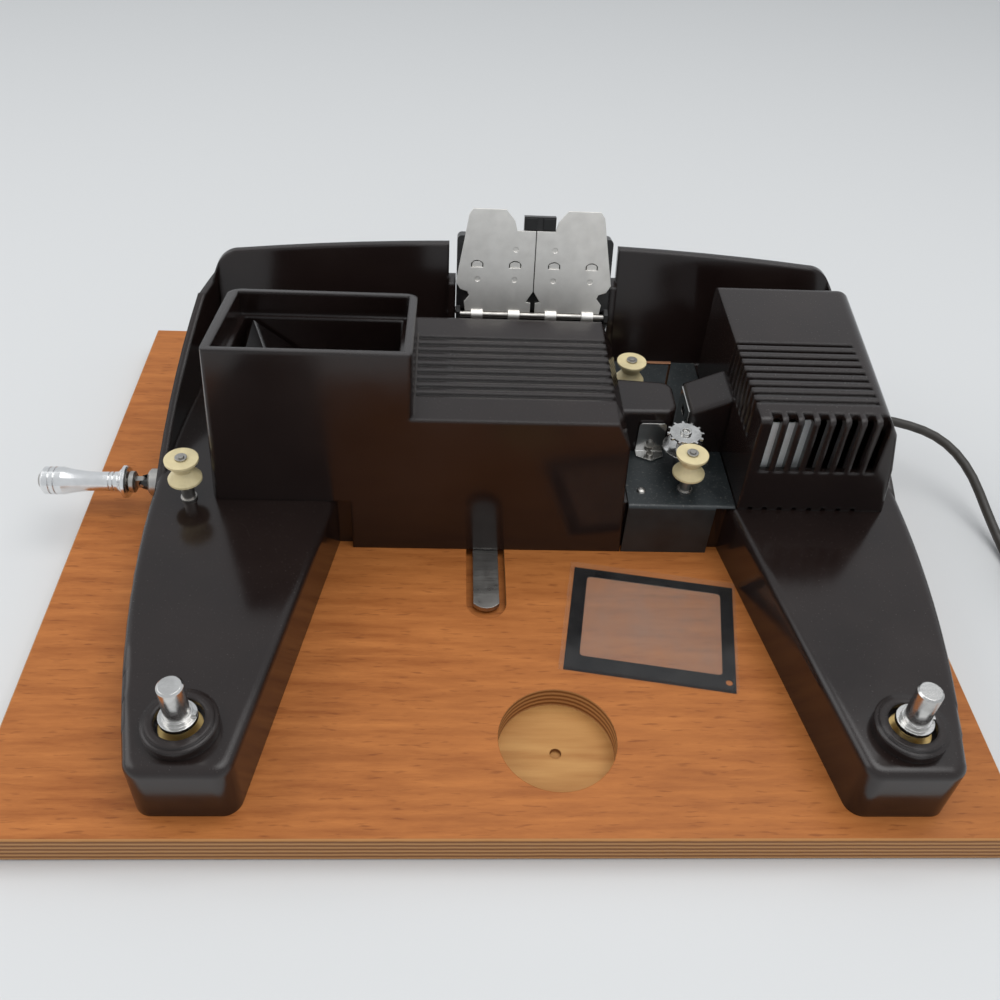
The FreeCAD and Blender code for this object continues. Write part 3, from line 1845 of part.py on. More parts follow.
def splice_plate(label, side):
    """One of the two sheet plates that hold the film down while it is cut."""
    body = splicer_body(label)
    face = -d.splicer_face - d.plate_gap
    drawing = sketch(body, "XZ", face)
    seam = d.seam_gap
    foot = d.rod_radius + 0.2
    corners = [
        (29.2, foot),
        (29.7, 5.5),
        (27.5, 8.2),
        (28.3, 10),
        (31.4, 11),
        (33.3, 14),
        (28.2, 42.7),
        (26.5, d.plate_top),
        (13, d.plate_top),
        (9.2, 40.5),
        (8, 36.4),
        (seam, 36.4),
        (seam, 10.5),
        (3.1, 6),
        (1, 5.6),
        (1, foot),
    ]
    placed = [(side * as_size(x), s) for x, s in corners]
    if side > 0:
        placed.reverse()
    outline(drawing, placed)
    pad(drawing, d.plate_thick, -1)
    for x in (8.3, 24.4):
        drawing = sketch(body, "XZ", face - d.plate_thick)
        tongue = [(x - 2.6, 20.6), (x + 2.6, 20.6), (x + 2.6, 22.2), (x - 2.6, 22.2)]
        slot = [(side * as_size(u), as_size(v)) for u, v in tongue]
        if side < 0:
            slot.reverse()
        outline(drawing, slot, {2 if side > 0 else 0: 3.1})
        pocket(drawing, d.plate_thick + 1, 1)
    for x, s in ((24.1, 15.5), (8.3, 15.5), (8.3, 28.5)):
        drawing = sketch(body, "XZ", face - d.plate_thick)
        ring(drawing, side * as_size(x), s, 1.1)
        pocket(drawing, 0.4, 1)
    knuckles(body, side)
    return body


def knuckles(body, side):
    """The curled ends of a plate, round the hinge rod."""
    outer = d.rod_radius + d.run_gap + d.plate_thick
    for start in (d.knuckle_first, d.knuckle_last):
        drawing = sketch(body, "YZ", side * start)
        ring(drawing, -d.rod_off, 0, outer)
        pad(drawing, d.knuckle_long, both=True)
        face = -d.splicer_face - d.plate_gap
        drawing = sketch(body, "YZ", side * start)
        block(drawing, face - d.plate_thick, face, 0.5, 2.5)
        pad(drawing, d.knuckle_long, both=True)
        drawing = sketch(body, "YZ", side * start)
        ring(drawing, -d.rod_off, 0, d.rod_radius + d.run_gap)
        pocket(drawing, d.knuckle_long + 2, both=True)


def plate_pads():
    """The two black pads at the top of the film's track."""
    body = splicer_body("plate_pads")
    half = d.pad_wide / 2
    for middle in (d.pad_first_x, d.pad_last_x):
        drawing = sketch(body, "XZ", -d.splicer_face - 0.02)
        block(drawing, middle - half, middle + half, d.pad_low, d.pad_low + d.pad_long)
        pad(drawing, 1, -1)
    return body


def screen_body(label, high):
    turn = Rotation(Vector(0, 0, 1), d.screen_turn.value)
    return new_body(label, d.screen_x, d.screen_y, world_z(high), turn)


def screen_glass():
    """The loose glass screen, lying on the board."""
    body = screen_body("screen_glass", d.mask_thick)
    wide = d.screen_wide / 2
    deep = d.screen_deep / 2
    drawing = sketch(body, "XY")
    block(drawing, -wide, wide, -deep, deep)
    solid = pad(drawing, d.screen_thick - d.mask_thick)
    soften("Chamfer", solid, upright, 0.6)
    return body


def screen_mask():
    """The black border printed under the glass, open at its window and along its left margin."""
    body = screen_body("screen_mask", 0)
    wide = d.screen_wide / 2
    deep = d.screen_deep / 2
    drawing = sketch(body, "XY")
    block(drawing, -wide + d.mask_margin, wide - 0.6, -deep + 0.6, deep - 0.6)
    pad(drawing, d.mask_thick)
    drawing = sketch(body, "XY")
    window_outline(drawing, as_size(0))
    pocket(drawing, d.mask_thick)
    drawing = sketch(body, "XY")
    ring(drawing, d.eyelet_x, d.eyelet_y, d.eyelet_radius)
    pocket(drawing, d.mask_thick)
    return body


def window_outline(drawing, inset):
    left = d.window_mid_x - d.window_wide / 2 + inset
    right = d.window_mid_x + d.window_wide / 2 - inset
    low = d.window_mid_y - d.window_deep / 2 + inset
    high = d.window_mid_y + d.window_deep / 2 - inset
    round = d.window_round
    corners = [
        (left + round, low),
        (right - round, low),
        (right, low + round),
        (right, high - round),
        (right - round, high),
        (left + round, high),
        (left, high - round),
        (left, low + round),
    ]
    outline(drawing, corners, {1: round, 3: round, 5: round, 7: round})


def screen_window():
    """The frosted window of the screen."""
    body = screen_body("screen_window", 0)
    drawing = sketch(body, "XY")
    window_outline(drawing, as_size(0.02))
    pad(drawing, d.mask_thick - 0.01)
    return body


def latch_blade():
    """The flat latch in the board's slot."""
    body = new_body("latch_blade", d.slot_x, 0, world_z(-d.blade_low))
    half = d.blade_wide / 2
    drawing = sketch(body, "XY")
    corners = [
        (-half, d.blade_far_y),
        (-half, d.blade_near_y + half),
        (half, d.blade_near_y + half),
        (half, d.blade_far_y),
    ]
    outline(drawing, corners, {1: d.blade_round})
    pad(drawing, d.blade_thick)
    drawing = sketch(body, "XY")
    block(drawing, -1.7, 1.7, d.latch_screw_y - 8, d.latch_screw_y + 2)
    pocket(drawing, d.blade_thick)
    return body


def latch_screw():
    """The shoulder screw that the latch slides on."""
    top = d.slot_deep - d.blade_low + d.blade_thick + 0.3
    profile = [(0, 0.05), (1.4, 0.05), (1.4, top), (3, top), (2.6, top + 1.3), (0, top + 1.4)]
    return turned("latch_screw", profile, d.slot_x, d.latch_screw_y, world_z(-d.slot_deep))


def bend(start, corner, end):
    """The arc that leaves start towards the corner and reaches end coming from it."""
    first = corner - start
    turn = first.getAngle(end - corner)
    middle = (start + end) * 0.5
    inward = corner - middle
    radius = first.Length / math.tan(turn / 2)
    rise = radius * (1 - math.cos(turn / 2))
    return Part.Arc(start, middle + inward.normalize() * rise, end).toShape(), radius


def straight_and_bends(points):
    """Straight runs between the points, with a round bend at each corner."""
    edges = []
    radii = []
    last = points[0]
    for corner, following in zip(points[1:], points[2:]):
        run = corner - last if last == points[0] else corner - previous
        onward = following - corner
        reach = 0.45 * min(run.Length, onward.Length)
        start = corner - Vector(run).normalize() * reach
        end = corner + Vector(onward).normalize() * reach
        edges.append(Part.LineSegment(last, start).toShape())
        arc, radius = bend(start, corner, end)
        edges.append(arc)
        radii.append(radius)
        previous = corner
        last = end
    edges.append(Part.LineSegment(last, points[-1]).toShape())
    return edges, radii


def coil_places():
    """Radius and height of the cord after each half turn, layer upon layer."""
    radius = COIL_RADIUS
    high = CORD_START[-1][2]
    way = -1
    places = [(radius, high)]
    for layer in range(COIL_LAYERS):
        for step in range(COIL_LAYER_STEPS):
            radius += way * COIL_STEP
            if step == COIL_LAYER_STEPS - 1:
                radius += way * COIL_SIDESTEP
            places.append((radius, high))
        way = -way
        if layer < COIL_LAYERS - 1:
            radius += way * COIL_SIDESTEP
            high += COIL_RISE
            places.append((radius, high))
    return places


def coil_edges():
    """Two quarter turns for each half turn of the coil."""
    edges = []
    side = -1
    places = coil_places()
    for (first, low), (last, high) in zip(places, places[1:]):
        start = Vector(COIL_MIDDLE[0] + side * first, COIL_MIDDLE[1], low)
        end = Vector(COIL_MIDDLE[0] - side * last, COIL_MIDDLE[1], high)
        reach = Vector(0, side * (end - start).Length / 2, 0)
        middle = (start + end) * 0.5 + reach
        edges.append(bend(start, start + reach, middle)[0])
        edges.append(bend(middle, end + reach, end)[0])
        side = -side
    return edges


def cord():
    """The cord, one tube from the moulding through its coil to the plug."""
    start, start_radii = straight_and_bends([Vector(*point) for point in CORD_START])
    coil = coil_edges()
    end = coil[-1].valueAt(coil[-1].LastParameter)
    tail, tail_radii = straight_and_bends([end] + [Vector(*point) for point in CORD_TAIL])
    path = Part.Wire(start + coil + tail)
    radius = d.cord_radius.value
    ring_edge = Part.Circle(Vector(*CORD_START[0]), Vector(1, 0, 0), radius).toShape()
    feature = doc.addObject("Part::Feature", "cord")
    feature.Label = "cord"
    feature.Shape = path.makePipeShell([Part.Wire([ring_edge])], True, False)
    pieces.append(feature)
    print("cord length", round(path.Length, 1), "least bend", round(min(start_radii + tail_radii), 1))
    expected = math.pi * radius**2 * path.Length
    print("cord volume over section times length", round(feature.Shape.Volume / expected, 4))
    print("coil's least gap to itself", round(least_gap(coil, radius), 2))
    return feature


def least_gap(edges, radius):
    """The least gap between turns of the coil, measured on points half a turn or more apart."""
    points = [point for edge in edges for point in edge.discretize(25)[:-1]]
    apart = 48
    least = min(
        (first - second).Length
        for index, first in enumerate(points)
        for second in points[index + apart :]
    )
    return least - 2 * radius


def cord_relief():
    """The rubber sleeve that guards the cord where it leaves the moulding."""
    turn = Rotation(Vector(0, 1, 0), 90)
    high = world_z(d.cord_high)
    body = new_body("cord_relief", world_x(d.far_out), d.cord_y, high, turn)
    bore = d.cord_radius + 0.02
    profile = [
        (bore, -1),
        (d.gland_radius - 0.1, -1),
        (d.gland_radius - 0.02, 3.8),
        (d.gland_radius - 0.02, 8.1),
        (d.gland_radius + 1.4, 8.1),
        (d.gland_radius + 1.4, 9.3),
        (d.gland_radius - 0.3, 13),
        (bore, 13),
    ]
    add_turned(body, profile)
    return body


def plug_turn():
    """The way the cord's tail points, as a turn of +X round the upright."""
    before, last = (Vector(*point) for point in CORD_TAIL[-2:])
    heading = last - before
    return Rotation(Vector(0, 0, 1), math.degrees(math.atan2(heading.y, heading.x)))


def plug():
    """The moulded plug at the end of the cord."""
    x, y, z = CORD_TAIL[-1]
    body = new_body("plug", x, y, z, plug_turn())
    half = d.plug_wide / 2
    drawing = sketch(body, "XY", -d.plug_thick / 2)
    corners = [
        (0.05, -3.5),
        (8, -half * 0.6),
        (12, -half),
        (d.plug_long, -half),
        (d.plug_long, half),
        (12, half),
        (8, half * 0.6),
        (0.05, 3.5),
    ]
    outline(drawing, corners)
    solid = pad(drawing, d.plug_thick)
    soften("Fillet", solid, lambda edge: edge.Length > 10 and not upright(edge), 2.5)
    return body


def plug_pins():
    """The plug's two flat blades."""
    x, y, z = CORD_TAIL[-1]
    body = new_body("plug_pins", x, y, z, plug_turn())
    for side in (-1, 1):
        drawing = sketch(body, "XZ", side * 6.35 - 0.75)
        low = d.plug_long + 0.02
        block(drawing, low, low + 17, -3.15, 3.15)
        pad(drawing, 1.5)
    return body


base_board()
base_moulding()
viewer_housing()
mirror()
mirror_bracket()
mirror_screw()
lamp_house()
heat_shield()
lens_hood()
condenser_hood()
deck_plate()
deck_rivet()
aperture_plate()
gate_bracket()
gate_screws()
copper_spring()
film_sprocket()
sprocket_gear()
prism_holder()
prism()
lens_barrel()
lens("projection_lens", d.lens_x, d.barrel_bore - 0.02, as_size(2), as_size(14))
lens("condenser_lens", d.condenser_x, d.light_radius - 0.02, as_size(2.5), as_size(12))
lamp_bulb()
lamp_socket()
roller("near_roller", d.near_roller_x, d.near_roller_y)
roller("far_roller", d.far_roller_x, d.far_roller_y)
roller("left_roller", d.left_roller_x, d.left_roller_y)
roller_pins("deck_pins", roller_places()[1:], d.deck_top + 0.02)
roller_pins("left_pin", roller_places()[:1], d.arm_high + 0.02)
roller_clips()
spindle("left_spindle", -1)
spindle("right_spindle", 1)
spindle_collars()
spindle_bushes()
crank_bush()
crank_shaft()
fold_pin()
crank_arm()
crank_grip()
grip_screw()
layshaft()
left_pulley()
drive_belt()
splicer_block()
hinge_rod()
pivot_pins()
splice_plate("left_plate", -1)
splice_plate("right_plate", 1)
plate_pads()
screen_glass()
screen_mask()
screen_window()
latch_blade()
latch_screw()
cord()
cord_relief()
plug()
plug_pins()


def has_failed(thing):
    return "Invalid" in thing.State or "Error" in thing.State


def check_and_write():
    """Stop if anything failed, then write one file for each sub-part."""
    doc.recompute()
    failed = [f"{thing.Label} {thing.State}" for thing in doc.Objects if has_failed(thing)]
    if failed:
        raise RuntimeError("failed: " + ", ".join(failed))
    os.makedirs("parts", exist_ok=True)
    for thing in pieces:
        shape = thing.Shape
        if shape.isNull() or not shape.isValid():
            raise RuntimeError(f"{thing.Label} is not a valid solid")
        shape.exportStep(f"parts/{thing.Label}.step")
        print(thing.Label, len(shape.Solids), round(shape.Volume, 1))


check_and_write()
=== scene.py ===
import json
import math

import bmesh
import bpy
from mathutils import Matrix, Vector


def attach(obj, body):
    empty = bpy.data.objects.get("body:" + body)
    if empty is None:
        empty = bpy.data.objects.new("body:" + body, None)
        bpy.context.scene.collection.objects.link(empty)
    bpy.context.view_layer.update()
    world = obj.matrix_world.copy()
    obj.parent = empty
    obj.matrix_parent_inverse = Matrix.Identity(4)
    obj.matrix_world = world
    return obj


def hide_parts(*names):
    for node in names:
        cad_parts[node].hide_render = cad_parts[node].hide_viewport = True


# Looks of the film editor and viewer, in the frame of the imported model. Places and sizes are in
# metres, apart from the tongues, the sheet and the hole's floor, which are in millimetres.

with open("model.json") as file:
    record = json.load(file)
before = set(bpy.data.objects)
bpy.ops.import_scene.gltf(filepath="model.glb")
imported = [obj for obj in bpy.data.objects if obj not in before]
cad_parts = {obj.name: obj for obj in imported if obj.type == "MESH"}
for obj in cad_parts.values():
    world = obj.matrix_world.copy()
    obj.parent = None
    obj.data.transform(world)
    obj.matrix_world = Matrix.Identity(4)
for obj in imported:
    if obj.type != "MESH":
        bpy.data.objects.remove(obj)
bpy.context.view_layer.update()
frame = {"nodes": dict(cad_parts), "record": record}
MM = 0.001

# The camera: its place, its heading from +Y towards +X, how far it looks down and how far it is
# rolled, in degrees.
CAMERA_PLACE = (-0.0212, -0.2895, 0.2957)
CAMERA_YAW = 4.30
CAMERA_PITCH = 42.75
CAMERA_ROLL = 3.95
CAMERA_LENS = 36
SENSOR_WIDTH = 36

# The light tent: its floor, its glow, and two lamps with their place, size and power in watts.
FLOOR_HALF = 2.5
FLOOR_DROP = 0.0002
TENT_COLOR = (0.80, 0.83, 0.86, 1)
TENT_STRENGTH = 0.78
LAMPS = {
    "top": ((0.25, 0.0, 1.1), (1.0, 0.8), 6),
    "left": ((-0.9, 0.1, 0.7), (0.8, 0.8), 2.8),
}


def add_camera():
    """A camera at its place, turned by its yaw, pitch and roll."""
    yaw = math.radians(CAMERA_YAW)
    pitch = math.radians(CAMERA_PITCH)
    ahead = Vector((math.sin(yaw) * math.cos(pitch), math.cos(yaw) * math.cos(pitch), -math.sin(pitch)))
    right = Vector((math.cos(yaw), -math.sin(yaw), 0))
    right = Matrix.Rotation(math.radians(CAMERA_ROLL), 3, -ahead) @ right
    up = right.cross(ahead)
    pose = Matrix((right, up, -ahead)).transposed().to_4x4()
    pose.translation = CAMERA_PLACE
    data = bpy.data.cameras.new("camera")
    data.lens = CAMERA_LENS
    data.sensor_width = SENSOR_WIDTH
    data.clip_start = 0.01
    camera = bpy.data.objects.new("camera", data)
    camera.matrix_world = pose
    bpy.context.collection.objects.link(camera)
    bpy.context.scene.camera = camera


def add_light(name, place, size, power):
    """A soft lamp that points at the middle of the board."""
    data = bpy.data.lights.new(name, "AREA")
    data.shape = "RECTANGLE"
    data.size, data.size_y = size
    data.energy = power
    light = bpy.data.objects.new(name, data)
    light.location = place
    light.rotation_euler = (-Vector(place)).to_track_quat("-Z", "Y").to_euler()
    bpy.context.collection.objects.link(light)


def add_studio():
    """A pale floor and soft light from all sides, as in a light tent."""
    mesh = bpy.data.meshes.new("floor")
    bm = bmesh.new()
    far = FLOOR_HALF
    corners = ((-far, -far, 0), (far, -far, 0), (far, far, 0), (-far, far, 0))
    bm.faces.new([bm.verts.new(place) for place in corners])
    bm.to_mesh(mesh)
    bm.free()
    floor = bpy.data.objects.new("floor", mesh)
    bpy.context.collection.objects.link(floor)
    floor.location.z = -FLOOR_DROP
    mesh.materials.append(paper())
    world = bpy.data.worlds.new("tent")
    world.use_nodes = True
    glow = world.node_tree.nodes["Background"]
    glow.inputs["Color"].default_value = TENT_COLOR
    glow.inputs["Strength"].default_value = TENT_STRENGTH
    bpy.context.scene.world = world
    bpy.context.scene.view_settings.view_transform = "Standard"
    for name, (place, size, power) in LAMPS.items():
        add_light(name, place, size, power)


class Material:
    """One procedural material, with short names for the nodes that it is put together from."""

    def __init__(self, name, color, roughness, metallic=0.0):
        self.made = bpy.data.materials.new(name)
        self.made.use_nodes = True
        self.tree = self.made.node_tree
        self.shader = self.tree.nodes["Principled BSDF"]
        self.set("Base Color", (*color, 1))
        self.set("Roughness", roughness)
        self.set("Metallic", metallic)
        self.made.diffuse_color = (*color, 1)

    def set(self, socket, value):
        self.shader.inputs[socket].default_value = value

    def node(self, kind, **settings):
        node = self.tree.nodes.new("ShaderNode" + kind)
        for name, value in settings.items():
            setattr(node, name, value)
        return node

    def join(self, source, target):
        self.tree.links.new(source, target)

    def place(self, stretch=(1, 1, 1), turn=(0, 0, 0)):
        """The object's own coordinates, in metres, stretched and turned."""
        coordinates = self.node("TexCoord")
        mapping = self.node("Mapping")
        mapping.inputs["Scale"].default_value = stretch
        mapping.inputs["Rotation"].default_value = turn
        self.join(coordinates.outputs["Object"], mapping.inputs["Vector"])
        return mapping.outputs["Vector"]

    def noise(self, size, stretch=(1, 1, 1), detail=4, rough=0.5, turn=(0, 0, 0)):
        """Cloudy noise from 0 to 1, whose blots are about as large as size, in metres."""
        texture = self.node("TexNoise")
        texture.inputs["Scale"].default_value = 1 / size
        texture.inputs["Detail"].default_value = detail
        texture.inputs["Roughness"].default_value = rough
        self.join(self.place(stretch, turn), texture.inputs["Vector"])
        return texture.outputs["Fac"]

    def ramp(self, value, low, high, to_low=0.0, to_high=1.0):
        """A value from low to high, spread between two others and held there."""
        spread = self.node("MapRange")
        spread.inputs["From Min"].default_value = low
        spread.inputs["From Max"].default_value = high
        spread.inputs["To Min"].default_value = to_low
        spread.inputs["To Max"].default_value = to_high
        self.join(value, spread.inputs["Value"])
        return spread.outputs["Result"]

    def combine(self, operation, first, second):
        """Two numbers put together by a maths operation, each a number or a node's output."""
        node = self.node("Math", operation=operation)
        for socket, value in zip(node.inputs, (first, second)):
            if isinstance(value, (int, float)):
                socket.default_value = value
            else:
                self.join(value, socket)
        return node.outputs["Value"]

    def mix(self, share, first, second):
        """A colour between two, each a colour or another node's output."""
        node = self.node("Mix", data_type="RGBA")
        self.join(share, node.inputs["Factor"])
        for socket, value in ((node.inputs[6], first), (node.inputs[7], second)):
            if isinstance(value, tuple):
                socket.default_value = (*value, 1)
            else:
                self.join(value, socket)
        return node.outputs[2]

    def color(self, source):
        self.join(source, self.shader.inputs["Base Color"])

    def roughness(self, source):
        self.join(source, self.shader.inputs["Roughness"])

    def bump(self, height, depth, strength=1.0, round_edges=0.0):
        """Relief of a depth in metres. Edges are shaded as if rounded."""
        bump = self.node("Bump")
        bump.inputs["Strength"].default_value = strength
        bump.inputs["Distance"].default_value = depth
        self.join(height, bump.inputs["Height"])
        if round_edges:
            bevel = self.node("Bevel", samples=4)
            bevel.inputs["Radius"].default_value = round_edges
            self.join(bevel.outputs["Normal"], bump.inputs["Normal"])
        self.join(bump.outputs["Normal"], self.shader.inputs["Normal"])

    def facing_up(self):
        """How far the surface faces up, from 0 to 1."""
        geometry = self.node("NewGeometry")
        split = self.node("SeparateXYZ")
        self.join(geometry.outputs["Normal"], split.inputs["Vector"])
        return self.ramp(split.outputs["Z"], 0.2, 1.0)

    def height(self):
        """The height over the floor at rest, in metres."""
        split = self.node("SeparateXYZ")
        self.join(self.place(), split.inputs["Vector"])
        return split.outputs["Z"]


def paper():
    """The tent's pale cloth, with painted shade that darkens it towards the back."""
    look = Material("paper", (0.70, 0.71, 0.72), 0.8)
    split = look.node("SeparateXYZ")
    look.join(look.place(), split.inputs["Vector"])
    # Painted shade: the cloth's colour darkens towards the back, where less light falls.
    back = look.ramp(split.outputs["Y"], -0.2, 0.9)
    look.color(look.mix(back, (0.69, 0.695, 0.695), (0.57, 0.575, 0.575)))
    return look.made


def bakelite():
    """Very dark brown moulded plastic, glossy, with a haze of fine scratches and dust on top."""
    look = Material("bakelite", (0.012, 0.007, 0.006), 0.2)
    clouds = look.noise(0.035, detail=6)
    scratches = look.noise(0.0012, stretch=(0.06, 1, 1), detail=2, turn=(0, 0, 0.5))
    specks = look.ramp(look.noise(0.0006, detail=1), 0.70, 0.78)
    dust = look.combine("MULTIPLY", specks, look.facing_up())
    body = look.mix(look.ramp(clouds, 0.3, 0.7), (0.0105, 0.0062, 0.0055), (0.017, 0.0105, 0.009))
    look.color(look.mix(look.combine("MULTIPLY", dust, 0.25), body, (0.12, 0.11, 0.10)))
    scuffs = look.ramp(scratches, 0.58, 0.8, 0, 0.03)
    worn = look.combine("ADD", look.ramp(clouds, 0.3, 0.75, 0.12, 0.22), scuffs)
    look.roughness(look.combine("ADD", worn, look.combine("MULTIPLY", dust, 0.3)))
    look.bump(look.noise(0.009, detail=3), 0.00004, 0.5, round_edges=0.0018)
    return look.made


# The length of the wave that draws the plywood's layers, and the height where its raw wood ends
# and the stain begins.
LAYER_WAVE = 0.0011
STAIN_FROM = (0.0065, 0.0075)


def plywood():
    """Stained plywood: red-brown faces with fine flecks, pale edges in thin layers."""
    look = Material("plywood", (0.42, 0.18, 0.08), 0.42)
    grain = look.noise(0.0042, stretch=(0.11, 1, 1), detail=7, rough=0.68)
    broad = look.noise(0.05, stretch=(0.35, 1, 1), detail=4)
    flecks = look.noise(0.0011, stretch=(0.14, 1, 1), detail=2)
    stain = look.mix(look.ramp(grain, 0.3, 0.7), (0.29, 0.082, 0.017), (0.54, 0.19, 0.048))
    stain = look.mix(look.ramp(broad, 0.3, 0.75, 0, 0.5), stain, (0.43, 0.155, 0.040))
    stain = look.mix(look.ramp(flecks, 0.60, 0.72, 0, 0.5), stain, (0.17, 0.045, 0.010))
    layers = look.node("TexWave", wave_type="BANDS", bands_direction="Z")
    layers.inputs["Scale"].default_value = 1 / (2 * math.pi * LAYER_WAVE)
    layers.inputs["Distortion"].default_value = 0.5
    look.join(look.place(), layers.inputs["Vector"])
    pale = look.mix(look.ramp(layers.outputs["Fac"], 0.2, 0.8), (0.22, 0.085, 0.024), (0.48, 0.24, 0.09))
    floor_grain = look.noise(0.004, stretch=(0.1, 1, 1), detail=5)
    raw = look.mix(look.ramp(floor_grain, 0.3, 0.7), (0.42, 0.19, 0.055), (0.58, 0.31, 0.105))
    flat = look.ramp(look.facing_up(), 0.6, 0.9)
    edge_or_raw = look.mix(flat, pale, raw)
    stained = look.combine("MULTIPLY", flat, look.ramp(look.height(), *STAIN_FROM))
    look.color(look.mix(stained, edge_or_raw, stain))
    look.set("Specular IOR Level", 0.22)
    look.roughness(look.ramp(grain, 0.2, 0.8, 0.42, 0.56))
    look.bump(grain, 0.0001, 0.5, round_edges=0.0005)
    return look.made


def metal(name, color, low, high, streak=0.0008, stretch=(0.05, 1, 1), spread=0.28):
    """Bare metal, its roughness from low to high, with fine streaks and dulled in cloudy patches."""
    look = Material(name, color, low, 1.0)
    clouds = look.noise(0.006, detail=5)
    lines = look.noise(streak, stretch=stretch, detail=2)
    darker = tuple((1 - spread) * part for part in color)
    look.color(look.mix(look.ramp(clouds, 0.35, 0.7), color, darker))
    dull = look.ramp(clouds, 0.3, 0.7, low, high)
    look.roughness(look.combine("ADD", dull, look.ramp(lines, 0.4, 0.8, 0, 0.08)))
    look.bump(lines, 0.000006, 0.5, round_edges=0.0003)
    return look.made


def plastic(name, color, roughness, depth=0.00002, edge=0.0004, spread=0.25):
    """Plain moulded plastic or rubber with a fine grain and slightly uneven colour."""
    look = Material(name, color, roughness)
    clouds = look.noise(0.004, detail=4)
    darker = tuple((1 - spread) * part for part in color)
    look.color(look.mix(look.ramp(clouds, 0.35, 0.7), color, darker))
    look.roughness(look.ramp(clouds, 0.3, 0.7, roughness - 0.05, roughness + 0.08))
    look.bump(look.noise(0.0004, detail=2), depth, 0.6, round_edges=edge)
    return look.made


def deck_paint():
    """Dark blue-black paint on sheet metal, dusty and speckled."""
    look = Material("deck_paint", (0.012, 0.016, 0.018), 0.4)
    specks = look.ramp(look.noise(0.0009, detail=2), 0.6, 0.72)
    dust = look.combine("MULTIPLY", specks, look.facing_up())
    clouds = look.ramp(look.noise(0.012, detail=5), 0.3, 0.7)
    body = look.mix(clouds, (0.010, 0.0135, 0.015), (0.022, 0.028, 0.030))
    look.color(look.mix(look.combine("MULTIPLY", dust, 0.35), body, (0.20, 0.20, 0.18)))
    look.roughness(look.ramp(look.noise(0.008), 0.3, 0.7, 0.32, 0.5))
    look.bump(look.noise(0.0005, detail=2), 0.00003, 0.5, round_edges=0.0004)
    return look.made


def glass(name, tint, roughness):
    """Solid clear glass with faint smears."""
    look = Material(name, tint, roughness)
    look.set("Transmission Weight", 1.0)
    look.set("IOR", 1.45)
    smears = look.noise(0.01, detail=5)
    look.roughness(look.ramp(smears, 0.3, 0.8, roughness, roughness + 0.06))
    return look.made


def see_through(name, color, share, roughness):
    """Thin clear sheet: what lies under it shows, tinted by its own colour."""
    look = Material(name, color, roughness)
    smears = look.noise(0.012, detail=5)
    look.roughness(look.ramp(smears, 0.3, 0.8, roughness, roughness + 0.08))
    look.join(look.ramp(smears, 0.3, 0.7, share - 0.03, share + 0.03), look.shader.inputs["Alpha"])
    return look.made


def mirror_silver():
    """The silvered face of the mirror, a little blind in places."""
    look = Material("mirror_silver", (0.85, 0.87, 0.88), 0.03, 1.0)
    look.roughness(look.ramp(look.noise(0.01, detail=5), 0.4, 0.8, 0.02, 0.12))
    return look.made


def make_materials():
    """The record's material slots, and three looks of single nodes."""
    return {
        "bakelite": bakelite(),
        "plywood": plywood(),
        "deck_paint": deck_paint(),
        "nylon": plastic("nylon", (0.78, 0.66, 0.38), 0.34, spread=0.15),
        "steel": metal("steel", (0.52, 0.50, 0.47), 0.25, 0.4),
        "chrome": metal("chrome", (0.72, 0.71, 0.69), 0.10, 0.24),
        "nickel": metal("nickel", (0.62, 0.58, 0.52), 0.26, 0.42, streak=0.0007, stretch=(1, 0.05, 0.05)),
        "aluminium": metal(
            "aluminium", (0.86, 0.86, 0.86), 0.16, 0.22, streak=0.0003, stretch=(1, 0.1, 0.1), spread=0.1
        ),
        "brass": metal("brass", (0.60, 0.43, 0.18), 0.25, 0.4),
        "copper": metal("copper", (0.55, 0.27, 0.15), 0.3, 0.45),
        "black_paint": plastic("black_paint", (0.012, 0.011, 0.011), 0.3, spread=0.2),
        "black_rubber": plastic("black_rubber", (0.010, 0.010, 0.010), 0.55, depth=0.00004, spread=0.2),
        "clear_glass": glass("clear_glass", (0.97, 0.99, 0.98), 0.01),
        "frosted": see_through("frosted", (0.66, 0.50, 0.40), 0.20, 0.45),
        "screen_glass": see_through("screen_glass", (0.30, 0.28, 0.26), 0.06, 0.02),
        "print_black": plastic("print_black", (0.002, 0.0025, 0.004), 0.14, spread=0.1, edge=0),
        "mirror": mirror_silver(),
        "cord_jacket": plastic("cord_jacket", (0.045, 0.040, 0.034), 0.45, spread=0.2),
        "shield": plastic("shield", (0.94, 0.96, 0.95), 0.3, spread=0.08),
        "plate": metal(
            "plate", (0.97, 0.945, 0.90), 0.46, 0.54, streak=0.0004, stretch=(1, 0.06, 0.06), spread=0.1
        ),
    }


# The nodes whose look isn't their slot's.
OWN_LOOK = {
    "screen_glass": "screen_glass",
    "heat_shield": "shield",
    "spindle_collars": "bakelite",
    "left_plate": "plate",
    "right_plate": "plate",
}


def dress_nodes(materials):
    """Give each node of the model its own look or that of its slot in the record."""
    for entry in frame["record"]["subparts"]:
        node = frame["nodes"][entry["node"]]
        node.data.materials.clear()
        node.data.materials.append(materials[OWN_LOOK.get(entry["node"], entry["material_slot"])])


# The splicer's own frame: its pivot, in mm, and how far it leans back, in degrees.
SPLICER_PIVOT = (15.1, 88.4, 58.6)
SPLICER_LEAN = 14.5
# The tongues pressed into the splicer's plates, in mm in the splicer's frame: their middles, half
# their width, where they start and round off, how far they round up, and their two faces.
TAB_PLACES = {"left_plate": (-24.4, -8.3), "right_plate": (8.3, 24.4)}
TAB_HALF = 2.15
TAB_FOOT = 20.65
TAB_SHOULDER = 22.0
TAB_RISE = 1.15
TAB_FACES = (-5.45, -4.9)
TAB_STEPS = 12
